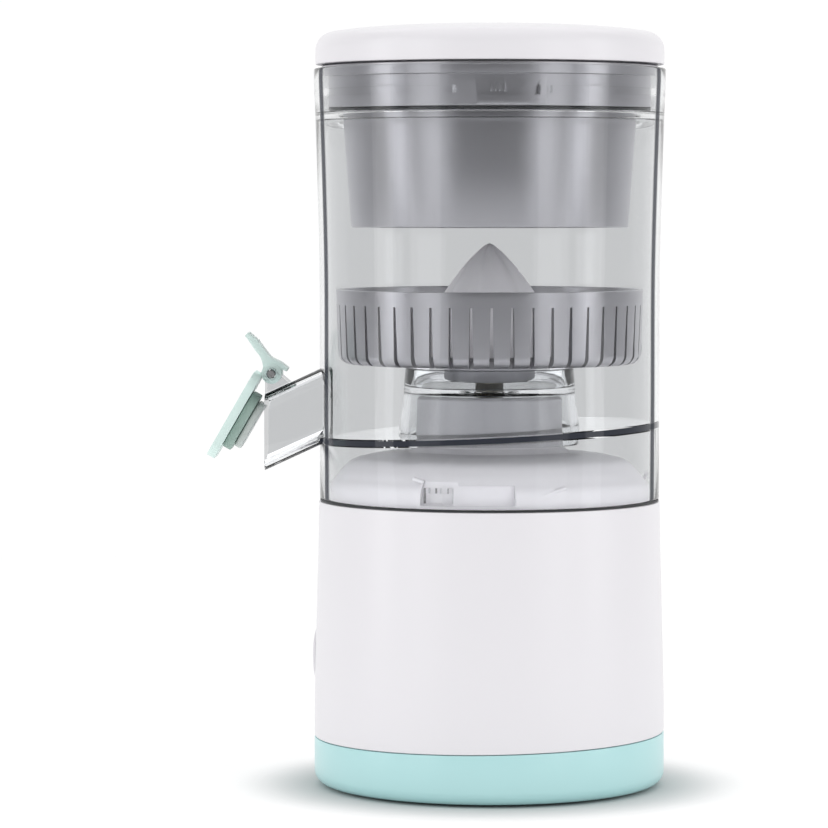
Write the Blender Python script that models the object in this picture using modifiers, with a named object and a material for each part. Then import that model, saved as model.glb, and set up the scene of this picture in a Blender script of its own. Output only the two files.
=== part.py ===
"""Cordless citrus press juicer, modelled as the separate pieces it is assembled from.

Sizes are in millimetres and every mesh is built in metres. +Z is up, the underside of the foot
pad is at z = 0, the drive turns about the Z axis and the spout points to -X. Azimuths are in
degrees from the front (-Y) towards +X. A profile is a list of (radius, height) points that runs
down the outer side and back up the inner one.
"""
import math

import bmesh
import bpy
from mathutils import Matrix, Vector

MM = 0.001
WELD = 1e-6                  # merge distance, metres
GAP = 0.3                    # clearance between pieces that touch or pass
ROUND = 36                   # facets round the large turned pieces
SMALL_ROUND = 20             # facets round rods, screws and bushes

# ------------------------------------------------------------------ base
PAD_R = 50.5
PAD_H = 1.2
COVER_FLOOR = 2.2
COVER_CORNER = 6.0
COVER_TOP = 17.0             # seam between the bottom cover and the base shell
BASE_R = 57.5
BASE_TOP_R = 55.9
BASE_TOP = 93.6
BASE_WALL = 2.2
BOSS_AZIMUTHS = (45.0, 135.0, 225.0, 315.0)
BOSS_RING_R = 47.4           # distance of the cover screws from the axis
BOSS_R = 4.0
BOSS_H = 17.0
SCREW_R = 1.4
SCREW_HEAD_R = 2.6
SCREW_HEAD_H = 2.2

# ------------------------------------------------------------------ dome and neck of the base
NECK_R = 53.2
NECK_INNER_R = 48.0
NECK_FOOT = 86.0
DOME_TOP = 110.2
TOWER_R = 22.6
TOWER_TOP = 128.4
TOWER_WALL = 2.2
BUSH_R = 6.0
BUSH_H = 9.0

# ------------------------------------------------------------------ drive
SHAFT_R = 3.0
DOG_R = 7.0                  # reach of the coupling dogs from the axis
DOG_W = 2.4
COUPLER_R = 4.4
COUPLER_H = 13.8
PLATE_LOW = 60.0             # gear plate
PLATE_H = 2.5
POSTS = ((35.0, -8.0), (-34.0, 10.0), (24.0, 32.0))
POST_R = 3.6
PRESSURE_ANGLE = math.radians(20.0)
BACKLASH = 0.2
MOTOR_MODULE = 0.8           # first stage
MOTOR_TEETH = 12
WHEEL_TEETH = 48
OUT_MODULE = 1.0             # second stage
PINION_TEETH = 12
OUT_TEETH = 36
GEAR_H = 4.0
OUT_GEAR_H = 6.0
AXLE_R = 2.0
MOTOR_SHAFT_R = 1.6
MOTOR_R = 16.0
MOTOR_H = 38.0
MOTOR_BEARING = -30.0        # direction of the motor from the idler, degrees from +X
CELL_R = 9.2
CELL_H = 65.0
CELLS = ((-18.5, -25.5), (9.0, -33.0))

# ------------------------------------------------------------------ button and electrics
BUTTON_TURN = 172.0          # direction of the button, degrees from +X towards +Y
BUTTON_Z = 42.0
BUTTON_R = 7.5
BUTTON_PROUD = 0.6           # the button's face, out from the shell
BUTTON_L = 8.0
SWITCH_ROOM = 2.1            # the button's travel and its running room
SWITCH_L = 3.4
BOARD_H = 1.6
BOARD_LOW = 27.0             # top of the rest that the board stands on
BEZEL_W = 1.6
SOCKET_Z = 30.0
SOCKET_W = 9.2
SOCKET_H = 3.4
SOCKET_L = 7.4
SOCKET_SKIN = 0.7

# ------------------------------------------------------------------ jar
JAR_R = 55.7
JAR_RIM_R = 57.5
JAR_TOP = 234.8
JAR_WALL = 2.2
SEAL_H = 0.6
FLOOR_Z = 117.5              # height of the tilted floor at the axis
FLOOR_H = 2.6
FLOOR_TILT = 2.75            # degrees, low towards the spout
DAM_TOP = 137.2
DAM_TOP_R = 27.5
DAM_FOOT_R = 29.5
DAM_WALL = 2.0
LEDGE_DROP = 14.6            # the ledge's upper face, below the rim
LEDGE_H = 2.0
LEDGE_R = 49.5
TAB_AZIMUTH = -17.6
TAB_LOW = 96.3
TAB_H = 4.9
TAB_R = 50.9
TAB_HALF = 5.0               # half width in degrees
JAR_TURN = 20.0              # degrees from loose to locked
LUG_AZIMUTH = 7.5
LUG_HALF = 11.7
LUG_R = 54.5
LUG_RISE = 1.7               # the lugs' underside, above the ledge
LUG_H = 3.2
GATE_AZIMUTH = 4.3           # the gap in the ridge that lets a lug in
GATE_HALF = 16.4
RIDGE_H = 2.3
RIDGE_R = 53.1

# ------------------------------------------------------------------ spout and flap
MOUTH_X = -73.3
MOUTH_LOW = 103.8
SPOUT_H = 24.9
SPOUT_W = 26.0
SPOUT_WALL = 1.8
SPOUT_CORNER = 6.0
SPOUT_SLOPE = 0.46
PIVOT = (-71.3, 135.3)       # x and z of the flap's pin
PIN_R = 1.2
EAR_RING_R = 2.0
EAR_INNER = 6.0
EAR_W = 2.0
FLAP_OPEN = 30.0             # degrees that the flap stands open at rest
HUB_R = 3.3
FLAP_H = 1.8
FLAP_W = 25.0
FLAP_LOW = -33.3             # the plate's lower end, from the pivot
GASKET_H = 3.0
GASKET = (19.0, -26.3, -9.3)  # width, lower and upper end from the pivot
PLUG_H = 2.8
PLUG = (16.0, -24.8, -10.3)

# ------------------------------------------------------------------ basket and reamer
BASKET_R = 50.3
BASKET_FOOT_R = 49.5
BASKET_TOP = 162.9
BASKET_LOW = 138.6
BASKET_WALL = 2.0
BASKET_CORNER = 3.5
HUB_OUTER_R = 15.0
HUB_LOW = 131.7
SLOTS = 48
SLOT_TOP = 158.0
SLOT_TOP_W = 0.8
SLOT_LOW_W = 1.5
REAMER_R = 24.0
REAMER_TIP = 178.0
REAMER_RIBS = 8

# ------------------------------------------------------------------ lid and presser
LID_R = 57.0
LID_LIFT = 1.3               # the cap's edge, above the jar's rim
LID_H = 13.1
LID_WALL = 2.2
LID_CORNER = 6.0
COLLAR_R = 54.9
COLLAR_BAND = 4.4            # reach of the collar's wide band below the jar's rim
COLLAR_FOOT_R = 52.6
COLLAR_WALL = 2.0
FLANGE_RISE = 1.9            # the flange's underside, above the cap's edge
FLANGE_H = 2.0
LID_SCREW_RING_R = 47.0
PRESSER_R = 48.0
PRESSER_LOW_R = 45.3
PRESSER_DROP = 26.5          # the cup's rim, below the lid's ceiling
PRESSER_H = 37.3
PRESSER_WALL = 2.0
PRESSER_SKIRT = 16.1         # depth of the cup below the disc that meets the fruit
DISC_H = 2.5
STEM_R = 5.0
STEM_H = 28.9
GUIDE_WALL = 2.0
GUIDE_H = 24.5
SPRING_R = 9.6
SPRING_WIRE = 0.8
SPRING_TURNS = 6

# ------------------------------------------------------------------ colours
WHITE = (0.80, 0.81, 0.82)
AQUA = (0.48, 0.75, 0.76)
MINT = (0.56, 0.80, 0.73)
GREY = (0.36, 0.37, 0.38)
CLEAR = (0.75, 0.78, 0.79)
DARK = (0.04, 0.045, 0.05)
STEEL = (0.55, 0.56, 0.58)
BRONZE = (0.50, 0.34, 0.18)
NYLON = (0.72, 0.70, 0.64)
BOARD = (0.05, 0.20, 0.09)
CELL = (0.10, 0.28, 0.50)


# ------------------------------------------------------------------ tools of the script
def clear_scene():
    for item in list(bpy.data.objects):
        bpy.data.objects.remove(item)


def new_collection(name):
    group = bpy.data.collections.new(name)
    bpy.context.scene.collection.children.link(group)
    return group


def finish_material(name, colour, roughness=0.35, metallic=0.0):
    material = bpy.data.materials.new(name)
    material.use_nodes = True
    shader = material.node_tree.nodes["Principled BSDF"]
    shader.inputs["Base Color"].default_value = (*colour, 1.0)
    shader.inputs["Roughness"].default_value = roughness
    shader.inputs["Metallic"].default_value = metallic
    material.diffuse_color = (*colour, 1.0)
    return material


def add_object(name, mesh):
    item = bpy.data.objects.new(name, mesh)
    bpy.context.scene.collection.objects.link(item)
    return item


def mesh_from(name, bm):
    mesh = bpy.data.meshes.new(name)
    bm.to_mesh(mesh)
    bm.free()
    return mesh


def part(item, colour, roughness=0.35, metallic=0.0):
    """Files a finished piece in the part's collection with its own material."""
    item.data.materials.clear()
    item.data.materials.append(finish_material(item.name, colour, roughness, metallic))
    bpy.context.scene.collection.objects.unlink(item)
    bpy.data.collections["citrus_press_juicer"].objects.link(item)
    item.data.shade_smooth()
    return item


def tool(item):
    """Files a shape that only cuts or joins another."""
    bpy.context.scene.collection.objects.unlink(item)
    bpy.data.collections["cutters"].objects.link(item)
    item.hide_render = True
    item.display_type = "WIRE"
    return item


def combine(item, helper, operation):
    modifier = item.modifiers.new(helper.name, "BOOLEAN")
    modifier.operation = operation
    modifier.solver = "EXACT"
    modifier.object = tool(helper)


def cut(item, helper):
    combine(item, helper, "DIFFERENCE")


def join(item, helper):
    combine(item, helper, "UNION")


def turned(name, profile, steps=ROUND):
    """A turned shape; a profile that touches the axis is open there, any other is a closed ring."""
    count = len(profile)
    edges = [(index, index + 1) for index in range(count - 1)]
    if profile[0][0] > 0.0:
        edges.append((count - 1, 0))
    mesh = bpy.data.meshes.new(name)
    mesh.from_pydata([(r * MM, 0.0, z * MM) for r, z in profile], edges, [])
    item = add_object(name, mesh)
    screw = item.modifiers.new("turn", "SCREW")
    screw.axis = "Z"
    screw.angle = math.tau
    screw.steps = steps
    screw.render_steps = steps
    screw.use_merge_vertices = True
    screw.merge_threshold = WELD
    return item


def arc(centre, radius, start, end, count):
    """Points of an arc, with angles in degrees."""
    points = []
    for index in range(count + 1):
        angle = math.radians(start + (end - start) * index / count)
        points.append((centre[0] + radius * math.cos(angle), centre[1] + radius * math.sin(angle)))
    return points


def plate(name, outline, low, high, holes=()):
    """A flat piece with the outline in X and Y, from height low to height high."""
    curve = bpy.data.curves.new(name, "CURVE")
    curve.dimensions = "2D"
    curve.fill_mode = "BOTH"
    curve.extrude = (high - low) / 2.0 * MM
    for loop in (outline, *holes):
        spline = curve.splines.new("POLY")
        spline.points.add(len(loop) - 1)
        for point, (x, y) in zip(spline.points, loop):
            point.co = (x * MM, y * MM, 0.0, 1.0)
        spline.use_cyclic_u = True
    outline_object = add_object(name + "_outline", curve)
    item = curve_to_mesh(outline_object, name)
    item.data.transform(Matrix.Translation((0.0, 0.0, (low + high) / 2.0 * MM)))
    return item


def curve_to_mesh(outline_object, name):
    depsgraph = bpy.context.evaluated_depsgraph_get()
    mesh = bpy.data.meshes.new_from_object(outline_object.evaluated_get(depsgraph))
    mesh.name = name
    bm = bmesh.new()
    bm.from_mesh(mesh)
    bmesh.ops.remove_doubles(bm, verts=bm.verts, dist=WELD)
    bmesh.ops.recalc_face_normals(bm, faces=bm.faces)
    bm.to_mesh(mesh)
    bm.free()
    item = add_object(name, mesh)
    item.matrix_world = outline_object.matrix_world
    bpy.data.objects.remove(outline_object)
    return item


def box(name, low, high):
    bm = bmesh.new()
    bmesh.ops.create_cube(bm, size=1.0)
    size = [(b - a) * MM for a, b in zip(low, high)]
    middle = [(a + b) / 2.0 * MM for a, b in zip(low, high)]
    place = Matrix.Translation(middle) @ Matrix.Diagonal((*size, 1.0))
    bmesh.ops.transform(bm, matrix=place, verts=bm.verts)
    return add_object(name, mesh_from(name, bm))


def rod(name, radius, low, high, place=(0.0, 0.0), axis="Z", segments=SMALL_ROUND):
    """A round bar along an axis, from low to high; place is its centre in the other two axes."""
    bm = bmesh.new()
    bmesh.ops.create_cone(bm, cap_ends=True, segments=segments, radius1=radius * MM,
                          radius2=radius * MM, depth=(high - low) * MM)
    middle = (low + high) / 2.0
    if axis == "Z":
        turn, centre = Matrix.Identity(4), (place[0], place[1], middle)
    elif axis == "Y":
        turn, centre = Matrix.Rotation(math.pi / 2.0, 4, "X"), (place[0], middle, place[1])
    else:
        turn, centre = Matrix.Rotation(math.pi / 2.0, 4, "Y"), (middle, place[0], place[1])
    shift = Matrix.Translation(Vector(centre) * MM)
    bmesh.ops.transform(bm, matrix=shift @ turn, verts=bm.verts)
    return add_object(name, mesh_from(name, bm))


def at_azimuth(radius, azimuth):
    angle = math.radians(azimuth)
    return radius * math.sin(angle), -radius * math.cos(angle)


def sector(name, inner, outer, azimuth, half, low, high, count=4):
    """A block between two radii, centred on an azimuth and reaching half its width each way."""
    start, end = azimuth - 90.0 - half, azimuth - 90.0 + half
    outline = arc((0.0, 0.0), outer, start, end, count)
    outline += arc((0.0, 0.0), inner, end, start, count)
    return plate(name, outline, low, high)


def rounded_rectangle(width, low, high, corner, count=4):
    half = width / 2.0 - corner
    outline = arc((half, low + corner), corner, -90.0, 0.0, count)
    outline += arc((half, high - corner), corner, 0.0, 90.0, count)
    outline += arc((-half, high - corner), corner, 90.0, 180.0, count)
    outline += arc((-half, low + corner), corner, 180.0, 270.0, count)
    return outline


def gear_outline(teeth, module, turn):
    """An involute gear; turn is the angle in degrees of a tooth's centre."""
    pitch = teeth * module / 2.0
    base = pitch * math.cos(PRESSURE_ANGLE)
    half = math.pi / (2.0 * teeth) - BACKLASH / (2.0 * pitch)
    spread = math.tan(PRESSURE_ANGLE) - PRESSURE_ANGLE
    sides = []
    for radius in (pitch - 1.25 * module, pitch, pitch + 0.9 * module):
        slope = math.acos(min(1.0, base / radius))
        sides.append((radius, half + spread - (math.tan(slope) - slope)))
    outline = []
    for index in range(teeth):
        centre = math.radians(turn) + math.tau * index / teeth
        for radius, angle in sides:
            outline.append((radius * math.cos(centre - angle), radius * math.sin(centre - angle)))
        for radius, angle in reversed(sides):
            outline.append((radius * math.cos(centre + angle), radius * math.sin(centre + angle)))
    return outline


def hull_outline(circles, radius, count=20):
    """The outline of a belt round equal circles, by a walk round their convex hull."""
    points = []
    for centre in circles:
        points += arc(centre, radius, 0.0, 360.0 * (count - 1) / count, count - 1)
    points = sorted(set((round(x, 6), round(y, 6)) for x, y in points))
    outline = []
    for run in (points, points[::-1]):
        side = []
        for point in run:
            while len(side) > 1 and turn_of(side[-2], side[-1], point) <= 1e-9:
                side.pop()
            side.append(point)
        outline += side[:-1]
    return outline


def turn_of(a, b, c):
    return (b[0] - a[0]) * (c[1] - a[1]) - (b[1] - a[1]) * (c[0] - a[0])


def circle(centre, radius, count=SMALL_ROUND):
    return arc(centre, radius, 0.0, 360.0 * (count - 1) / count, count - 1)


# ------------------------------------------------------------------ places worked out from sizes
IDLER_Y = (PINION_TEETH + OUT_TEETH) * OUT_MODULE / 2.0
MOTOR_STEP = (MOTOR_TEETH + WHEEL_TEETH) * MOTOR_MODULE / 2.0
MOTOR_X = MOTOR_STEP * math.cos(math.radians(MOTOR_BEARING))
MOTOR_Y = IDLER_Y + MOTOR_STEP * math.sin(math.radians(MOTOR_BEARING))
PLATE_TOP = PLATE_LOW + PLATE_H
WHEEL_LOW = PLATE_TOP + 1.1
OUT_GEAR_LOW = WHEEL_LOW + GEAR_H + 1.9
OUT_GEAR_TOP = OUT_GEAR_LOW + OUT_GEAR_H
JAR_LOW = BASE_TOP + SEAL_H + 2.0 * 0.2
COUPLER_LOW = TOWER_TOP + GAP
COUPLER_TOP = COUPLER_LOW + COUPLER_H
LEDGE_TOP = JAR_TOP - LEDGE_DROP
LUG_LOW = LEDGE_TOP + LUG_RISE
RIDGE_LOW = LUG_LOW + LUG_H + 2.0 * GAP
COLLAR_LOW = LUG_LOW - GAP
LID_LOW = JAR_TOP + LID_LIFT
LID_TOP = LID_LOW + LID_H
FLANGE_LOW = LID_LOW + FLANGE_RISE
CEILING = LID_TOP - LID_WALL
PRESSER_TOP = CEILING - PRESSER_DROP
PRESSER_LOW = PRESSER_TOP - PRESSER_H
PRESSER_DISC = PRESSER_LOW + PRESSER_SKIRT
DISC_TOP = PRESSER_DISC + DISC_H
BUTTON_FACE = BASE_R + BUTTON_PROUD
SWITCH_FACE = BUTTON_FACE - BUTTON_L - SWITCH_ROOM
BOARD_FACE = SWITCH_FACE - SWITCH_L - GAP
NECK_SLOT_R = TAB_R - 2.0 * GAP


# ------------------------------------------------------------------ base
def make_foot_pad():
    part(rod("foot_pad", PAD_R, 0.0, PAD_H, segments=ROUND), DARK, 0.8)


def make_bottom_cover():
    low = PAD_H - 0.4
    floor = PAD_H + GAP
    inner = BASE_R - BASE_WALL
    corner = arc((BASE_R - COVER_CORNER, low + COVER_CORNER), COVER_CORNER, 0.0, -90.0, 4)
    profile = [(BASE_R, COVER_TOP), *corner, (PAD_R + GAP, low), (PAD_R + GAP, floor), (0.0, floor)]
    inside = [(0.0, floor + COVER_FLOOR), (inner - 4.0, floor + COVER_FLOOR),
              (inner - 1.0, floor + COVER_FLOOR + 1.4), (inner, floor + COVER_FLOOR + 4.5),
              (inner, COVER_TOP)]
    cover = turned("bottom_cover", inside + profile)
    for index, azimuth in enumerate(BOSS_AZIMUTHS):
        place = at_azimuth(BOSS_RING_R, azimuth)
        join(cover, rod(f"cover_boss_{index}", BOSS_R, floor + 1.0, COVER_TOP, place))
    for index, azimuth in enumerate(BOSS_AZIMUTHS):
        place = at_azimuth(BOSS_RING_R, azimuth)
        well_r = SCREW_HEAD_R + GAP
        cut(cover, rod(f"cover_well_{index}", well_r, 0.0, COVER_TOP - 5.0, place, segments=12))
        cut(cover, rod(f"cover_hole_{index}", SCREW_R + GAP, 1.0, COVER_TOP + 1.0, place, segments=12))
    near = (-BOARD_FACE - 1.2, -9.0, floor + 1.0)
    join(cover, box("board_rest", near, (2.8 - BOARD_FACE, 9.0, BOARD_LOW)))
    part(cover, AQUA)
    for index, azimuth in enumerate(BOSS_AZIMUTHS):
        place = at_azimuth(BOSS_RING_R, azimuth)
        make_screw(f"cover_screw_{index + 1}", place, COVER_TOP - 5.0 - GAP, COVER_TOP + BOSS_H - 4.0)


def make_screw(name, place, head_top, tip):
    """A screw that points up: its head's upper face is at head_top."""
    x, y = place
    profile = [(0.0, tip), (SCREW_R, tip - 1.0), (SCREW_R, head_top), (SCREW_HEAD_R, head_top),
               (SCREW_HEAD_R, head_top - SCREW_HEAD_H), (0.0, head_top - SCREW_HEAD_H)]
    screw = turned(name, profile, 12)
    screw.location = (x * MM, y * MM, 0.0)
    part(screw, STEEL, 0.3, 1.0)


def make_base_shell():
    low = COVER_TOP + 0.2
    outer = [(BASE_TOP_R, BASE_TOP), (BASE_TOP_R + 0.5, 70.0), (BASE_R - 0.2, 42.0), (BASE_R, low)]
    inner = [(radius - BASE_WALL, z) for radius, z in reversed(outer)]
    shell = turned("base_shell", outer + inner)
    for index, azimuth in enumerate(BOSS_AZIMUTHS):
        far = (-BOSS_R, 1.0 - BASE_R, low)
        near = (BOSS_R, BOSS_R - BOSS_RING_R, low + BOSS_H)
        boss = box(f"shell_boss_{index}", far, near)
        boss.rotation_euler = (0.0, 0.0, math.radians(azimuth))
        join(shell, boss)
    for index, azimuth in enumerate(BOSS_AZIMUTHS):
        place = at_azimuth(BOSS_RING_R, azimuth)
        deep = low + BOSS_H - 2.0
        cut(shell, rod(f"shell_hole_{index}", SCREW_R + GAP, low - 1.0, deep, place, segments=12))
    hole_r = BUTTON_R + BEZEL_W + 2.0 * GAP + 0.1
    hole = rod("button_hole", hole_r, BASE_R - 17.0, BASE_R + 5.0, (0.0, BUTTON_Z), "X", 32)
    hole.rotation_euler = (0.0, 0.0, math.radians(BUTTON_TURN))
    cut(shell, hole)
    half = SOCKET_W / 2.0 + GAP
    rise = SOCKET_H / 2.0 + GAP
    hole_low = (-half, BASE_R - 7.5, SOCKET_Z - rise)
    cut(shell, box("socket_hole", hole_low, (half, BASE_R + 2.5, SOCKET_Z + rise)))
    part(shell, WHITE, 0.2)


def make_base_dome():
    outer = [(BUSH_R + GAP, TOWER_TOP), (TOWER_R, TOWER_TOP), (TOWER_R + 1.0, TOWER_TOP - 1.2),
             (TOWER_R + 1.6, DOME_TOP + 2.0), (TOWER_R + 4.0, DOME_TOP + 0.4), (36.0, DOME_TOP),
             (44.0, DOME_TOP - 1.6), (48.0, DOME_TOP - 4.6), (50.6, DOME_TOP - 7.6), (52.5, 99.8),
             (NECK_R, 95.0), (NECK_R, NECK_FOOT)]
    inner = [(NECK_INNER_R, NECK_FOOT), (NECK_INNER_R, 98.0), (46.0, 102.0), (42.6, 105.6),
             (36.0, DOME_TOP - 2.4), (TOWER_R + 1.8, DOME_TOP - 2.0), (TOWER_R - 0.8, DOME_TOP),
             (TOWER_R - 1.4, TOWER_TOP - TOWER_WALL),
             (BUSH_R + GAP + 2.4, TOWER_TOP - TOWER_WALL), (BUSH_R + GAP + 2.4, TOWER_TOP - BUSH_H),
             (BUSH_R + GAP, TOWER_TOP - BUSH_H)]
    dome = turned("base_dome", outer + inner)
    for index in range(3):
        azimuth = TAB_AZIMUTH + 120.0 * index
        low = TAB_LOW - 0.8
        top = TAB_LOW + TAB_H + 0.8
        gate = TAB_HALF + 1.5
        cut(dome, sector(f"neck_gate_{index}", NECK_SLOT_R, 60.0, azimuth, gate, low, 112.0))
        half = (JAR_TURN + gate - 1.0) / 2.0
        middle = azimuth + 1.0 + half
        cut(dome, sector(f"neck_channel_{index}", NECK_SLOT_R - 0.1, 60.5, middle, half, low + 0.1, top))
    for index, place in enumerate(POSTS):
        join(dome, rod(f"post_{index}", POST_R, PLATE_TOP + GAP, DOME_TOP - 1.8, place, segments=12))
        deep = PLATE_TOP + 12.0
        cut(dome, rod(f"post_hole_{index}", SCREW_R + GAP, PLATE_TOP - 1.0, deep, place, segments=12))
    part(dome, WHITE, 0.25)
    bush = [(BUSH_R, TOWER_TOP - 0.2), (BUSH_R, TOWER_TOP - BUSH_H), (SHAFT_R + GAP, TOWER_TOP - BUSH_H),
            (SHAFT_R + GAP, TOWER_TOP - 0.2)]
    part(turned("shaft_bush", bush, 24), BRONZE, 0.4, 1.0)


# ------------------------------------------------------------------ drive
def make_drive():
    shaft = rod("drive_shaft", SHAFT_R, PLATE_LOW + 0.2, COUPLER_TOP - 3.0)
    part(shaft, STEEL, 0.25, 1.0)
    coupler = rod("drive_coupler", COUPLER_R, COUPLER_LOW, COUPLER_TOP)
    half = DOG_W / 2.0
    join(coupler, box("dogs", (-half, -DOG_R, COUPLER_LOW + 2.0), (half, DOG_R, COUPLER_TOP - 1.0)))
    cut(coupler, rod("coupler_bore", SHAFT_R + GAP, COUPLER_LOW - 1.0, COUPLER_TOP - 3.0 + GAP))
    part(coupler, NYLON, 0.4)
    outline = gear_outline(OUT_TEETH, OUT_MODULE, 90.0)
    gear = plate("output_gear", outline, OUT_GEAR_LOW, OUT_GEAR_TOP, [circle((0.0, 0.0), SHAFT_R + GAP)])
    part(gear, NYLON, 0.4)


def make_idler():
    bore = [circle((0.0, 0.0), AXLE_R + GAP)]
    gear = plate("idler_gear", gear_outline(WHEEL_TEETH, MOTOR_MODULE, MOTOR_BEARING), WHEEL_LOW,
                 WHEEL_LOW + GEAR_H, bore)
    half_tooth = 180.0 / PINION_TEETH
    pinion = plate("idler_pinion", gear_outline(PINION_TEETH, OUT_MODULE, 270.0 + half_tooth),
                   WHEEL_LOW + GEAR_H - 1.0, OUT_GEAR_TOP + 0.5, bore)
    pinion.location = (0.0, IDLER_Y * MM, 0.0)
    gear.location = (0.0, IDLER_Y * MM, 0.0)
    join(gear, pinion)
    part(gear, NYLON, 0.4)
    axle = rod("idler_axle", AXLE_R, PLATE_LOW + 0.2, OUT_GEAR_TOP + 3.0, (0.0, IDLER_Y))
    part(axle, STEEL, 0.25, 1.0)


def make_motor():
    place = (MOTOR_X, MOTOR_Y)
    can_top = PLATE_LOW - 0.2
    profile = [(MOTOR_SHAFT_R + 0.5, can_top), (5.0, can_top), (5.0, can_top - 1.5),
               (MOTOR_R - 1.0, can_top - 1.5), (MOTOR_R, can_top - 2.5),
               (MOTOR_R, can_top - MOTOR_H + 1.0), (MOTOR_R - 1.0, can_top - MOTOR_H),
               (0.0, can_top - MOTOR_H)]
    can = turned("motor_can", [(0.0, can_top - 12.0), (MOTOR_SHAFT_R + 0.5, can_top - 12.0)] + profile, 32)
    can.location = (MOTOR_X * MM, MOTOR_Y * MM, 0.0)
    part(can, STEEL, 0.35, 1.0)
    shaft = rod("motor_shaft", MOTOR_SHAFT_R, can_top - 11.0, WHEEL_LOW + GEAR_H + 1.0, segments=16)
    shaft.location = (MOTOR_X * MM, MOTOR_Y * MM, 0.0)
    part(shaft, STEEL, 0.25, 1.0)
    half_tooth = 180.0 / MOTOR_TEETH
    outline = gear_outline(MOTOR_TEETH, MOTOR_MODULE, MOTOR_BEARING + 180.0 + half_tooth)
    pinion = plate("motor_pinion", outline, WHEEL_LOW - 0.2, WHEEL_LOW + GEAR_H + 0.5,
                   [circle((0.0, 0.0), MOTOR_SHAFT_R + GAP, 16)])
    pinion.location = (MOTOR_X * MM, MOTOR_Y * MM, 0.0)
    part(pinion, BRONZE, 0.3, 1.0)
    holes = [circle((0.0, 0.0), SHAFT_R + GAP), circle((0.0, IDLER_Y), AXLE_R + GAP), circle(place, 5.3)]
    holes += [circle(post, SCREW_R + GAP, 12) for post in POSTS]
    centres = [*POSTS, (0.0, 0.0)]
    part(plate("gear_plate", hull_outline(centres, 6.5), PLATE_LOW, PLATE_TOP, holes), STEEL, 0.4, 1.0)
    for index, post in enumerate(POSTS):
        make_screw(f"plate_screw_{index + 1}", post, PLATE_LOW - GAP, PLATE_TOP + 9.0)


# ------------------------------------------------------------------ electrics and button
def make_electrics():
    low = PAD_H + GAP + COVER_FLOOR + GAP
    circles = [circle(cell, CELL_R + GAP, 28) for cell in CELLS]
    holder = plate("battery_holder", hull_outline(CELLS, CELL_R + 2.5), low, low + 9.0)
    for index, outline in enumerate(circles):
        cut(holder, plate(f"cell_seat_{index}", outline, low + 1.2, low + 12.0))
    part(holder, DARK, 0.5)
    for index, cell in enumerate(CELLS):
        bottom = low + 1.2 + GAP
        part(rod(f"battery_cell_{index + 1}", CELL_R, bottom, bottom + CELL_H, cell, segments=28), CELL, 0.4)
    board_low = BOARD_LOW + GAP
    near = (-BOARD_FACE, -14.0, board_low)
    far = (BOARD_H - BOARD_FACE, 14.0, board_low + 30.0)
    part(box("control_board", near, far), BOARD, 0.5)
    y = SWITCH_FACE * math.tan(math.radians(180.0 - BUTTON_TURN))
    near = (-SWITCH_FACE, y - 3.0, BUTTON_Z - 3.0)
    far = (SWITCH_L - SWITCH_FACE, y + 3.0, BUTTON_Z + 3.0)
    part(box("push_switch", near, far), DARK, 0.4)
    half = SOCKET_W / 2.0
    rise = SOCKET_H / 2.0
    front = BASE_R - 0.6
    near = (-half, front - SOCKET_L, SOCKET_Z - rise)
    socket = box("charge_socket", near, (half, front, SOCKET_Z + rise))
    mouth_low = (SOCKET_SKIN - half, front - 4.4, SOCKET_Z - rise + SOCKET_SKIN)
    mouth_high = (half - SOCKET_SKIN, BASE_R + 2.5, SOCKET_Z + rise - SOCKET_SKIN)
    cut(socket, box("socket_mouth", mouth_low, mouth_high))
    part(socket, STEEL, 0.3, 1.0)


def make_button():
    turn = Matrix.Rotation(math.radians(BUTTON_TURN), 4, "Z") @ Matrix.Rotation(math.pi / 2.0, 4, "Y")
    face = BUTTON_FACE
    profile = [(0.0, face), (4.0, face - 0.25), (6.6, face - 0.9), (BUTTON_R, face - 1.8),
               (BUTTON_R, face - 4.6), (3.0, face - 4.6), (3.0, face - BUTTON_L), (0.0, face - BUTTON_L)]
    button = turned("power_button", profile, 32)
    ring_low = BASE_R - 5.9
    inner = BUTTON_R + GAP
    outer = inner + BEZEL_W
    ring = [(inner + 0.4, BASE_R + 0.1), (outer - 0.4, BASE_R - 0.1), (outer, BASE_R - 0.6),
            (outer, ring_low), (inner, ring_low), (inner, BASE_R - 0.4)]
    bezel = turned("button_bezel", ring, 32)
    for item in (button, bezel):
        item.matrix_world = Matrix.Translation((0.0, 0.0, BUTTON_Z * MM)) @ turn
    part(button, AQUA)
    part(bezel, WHITE)


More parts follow.
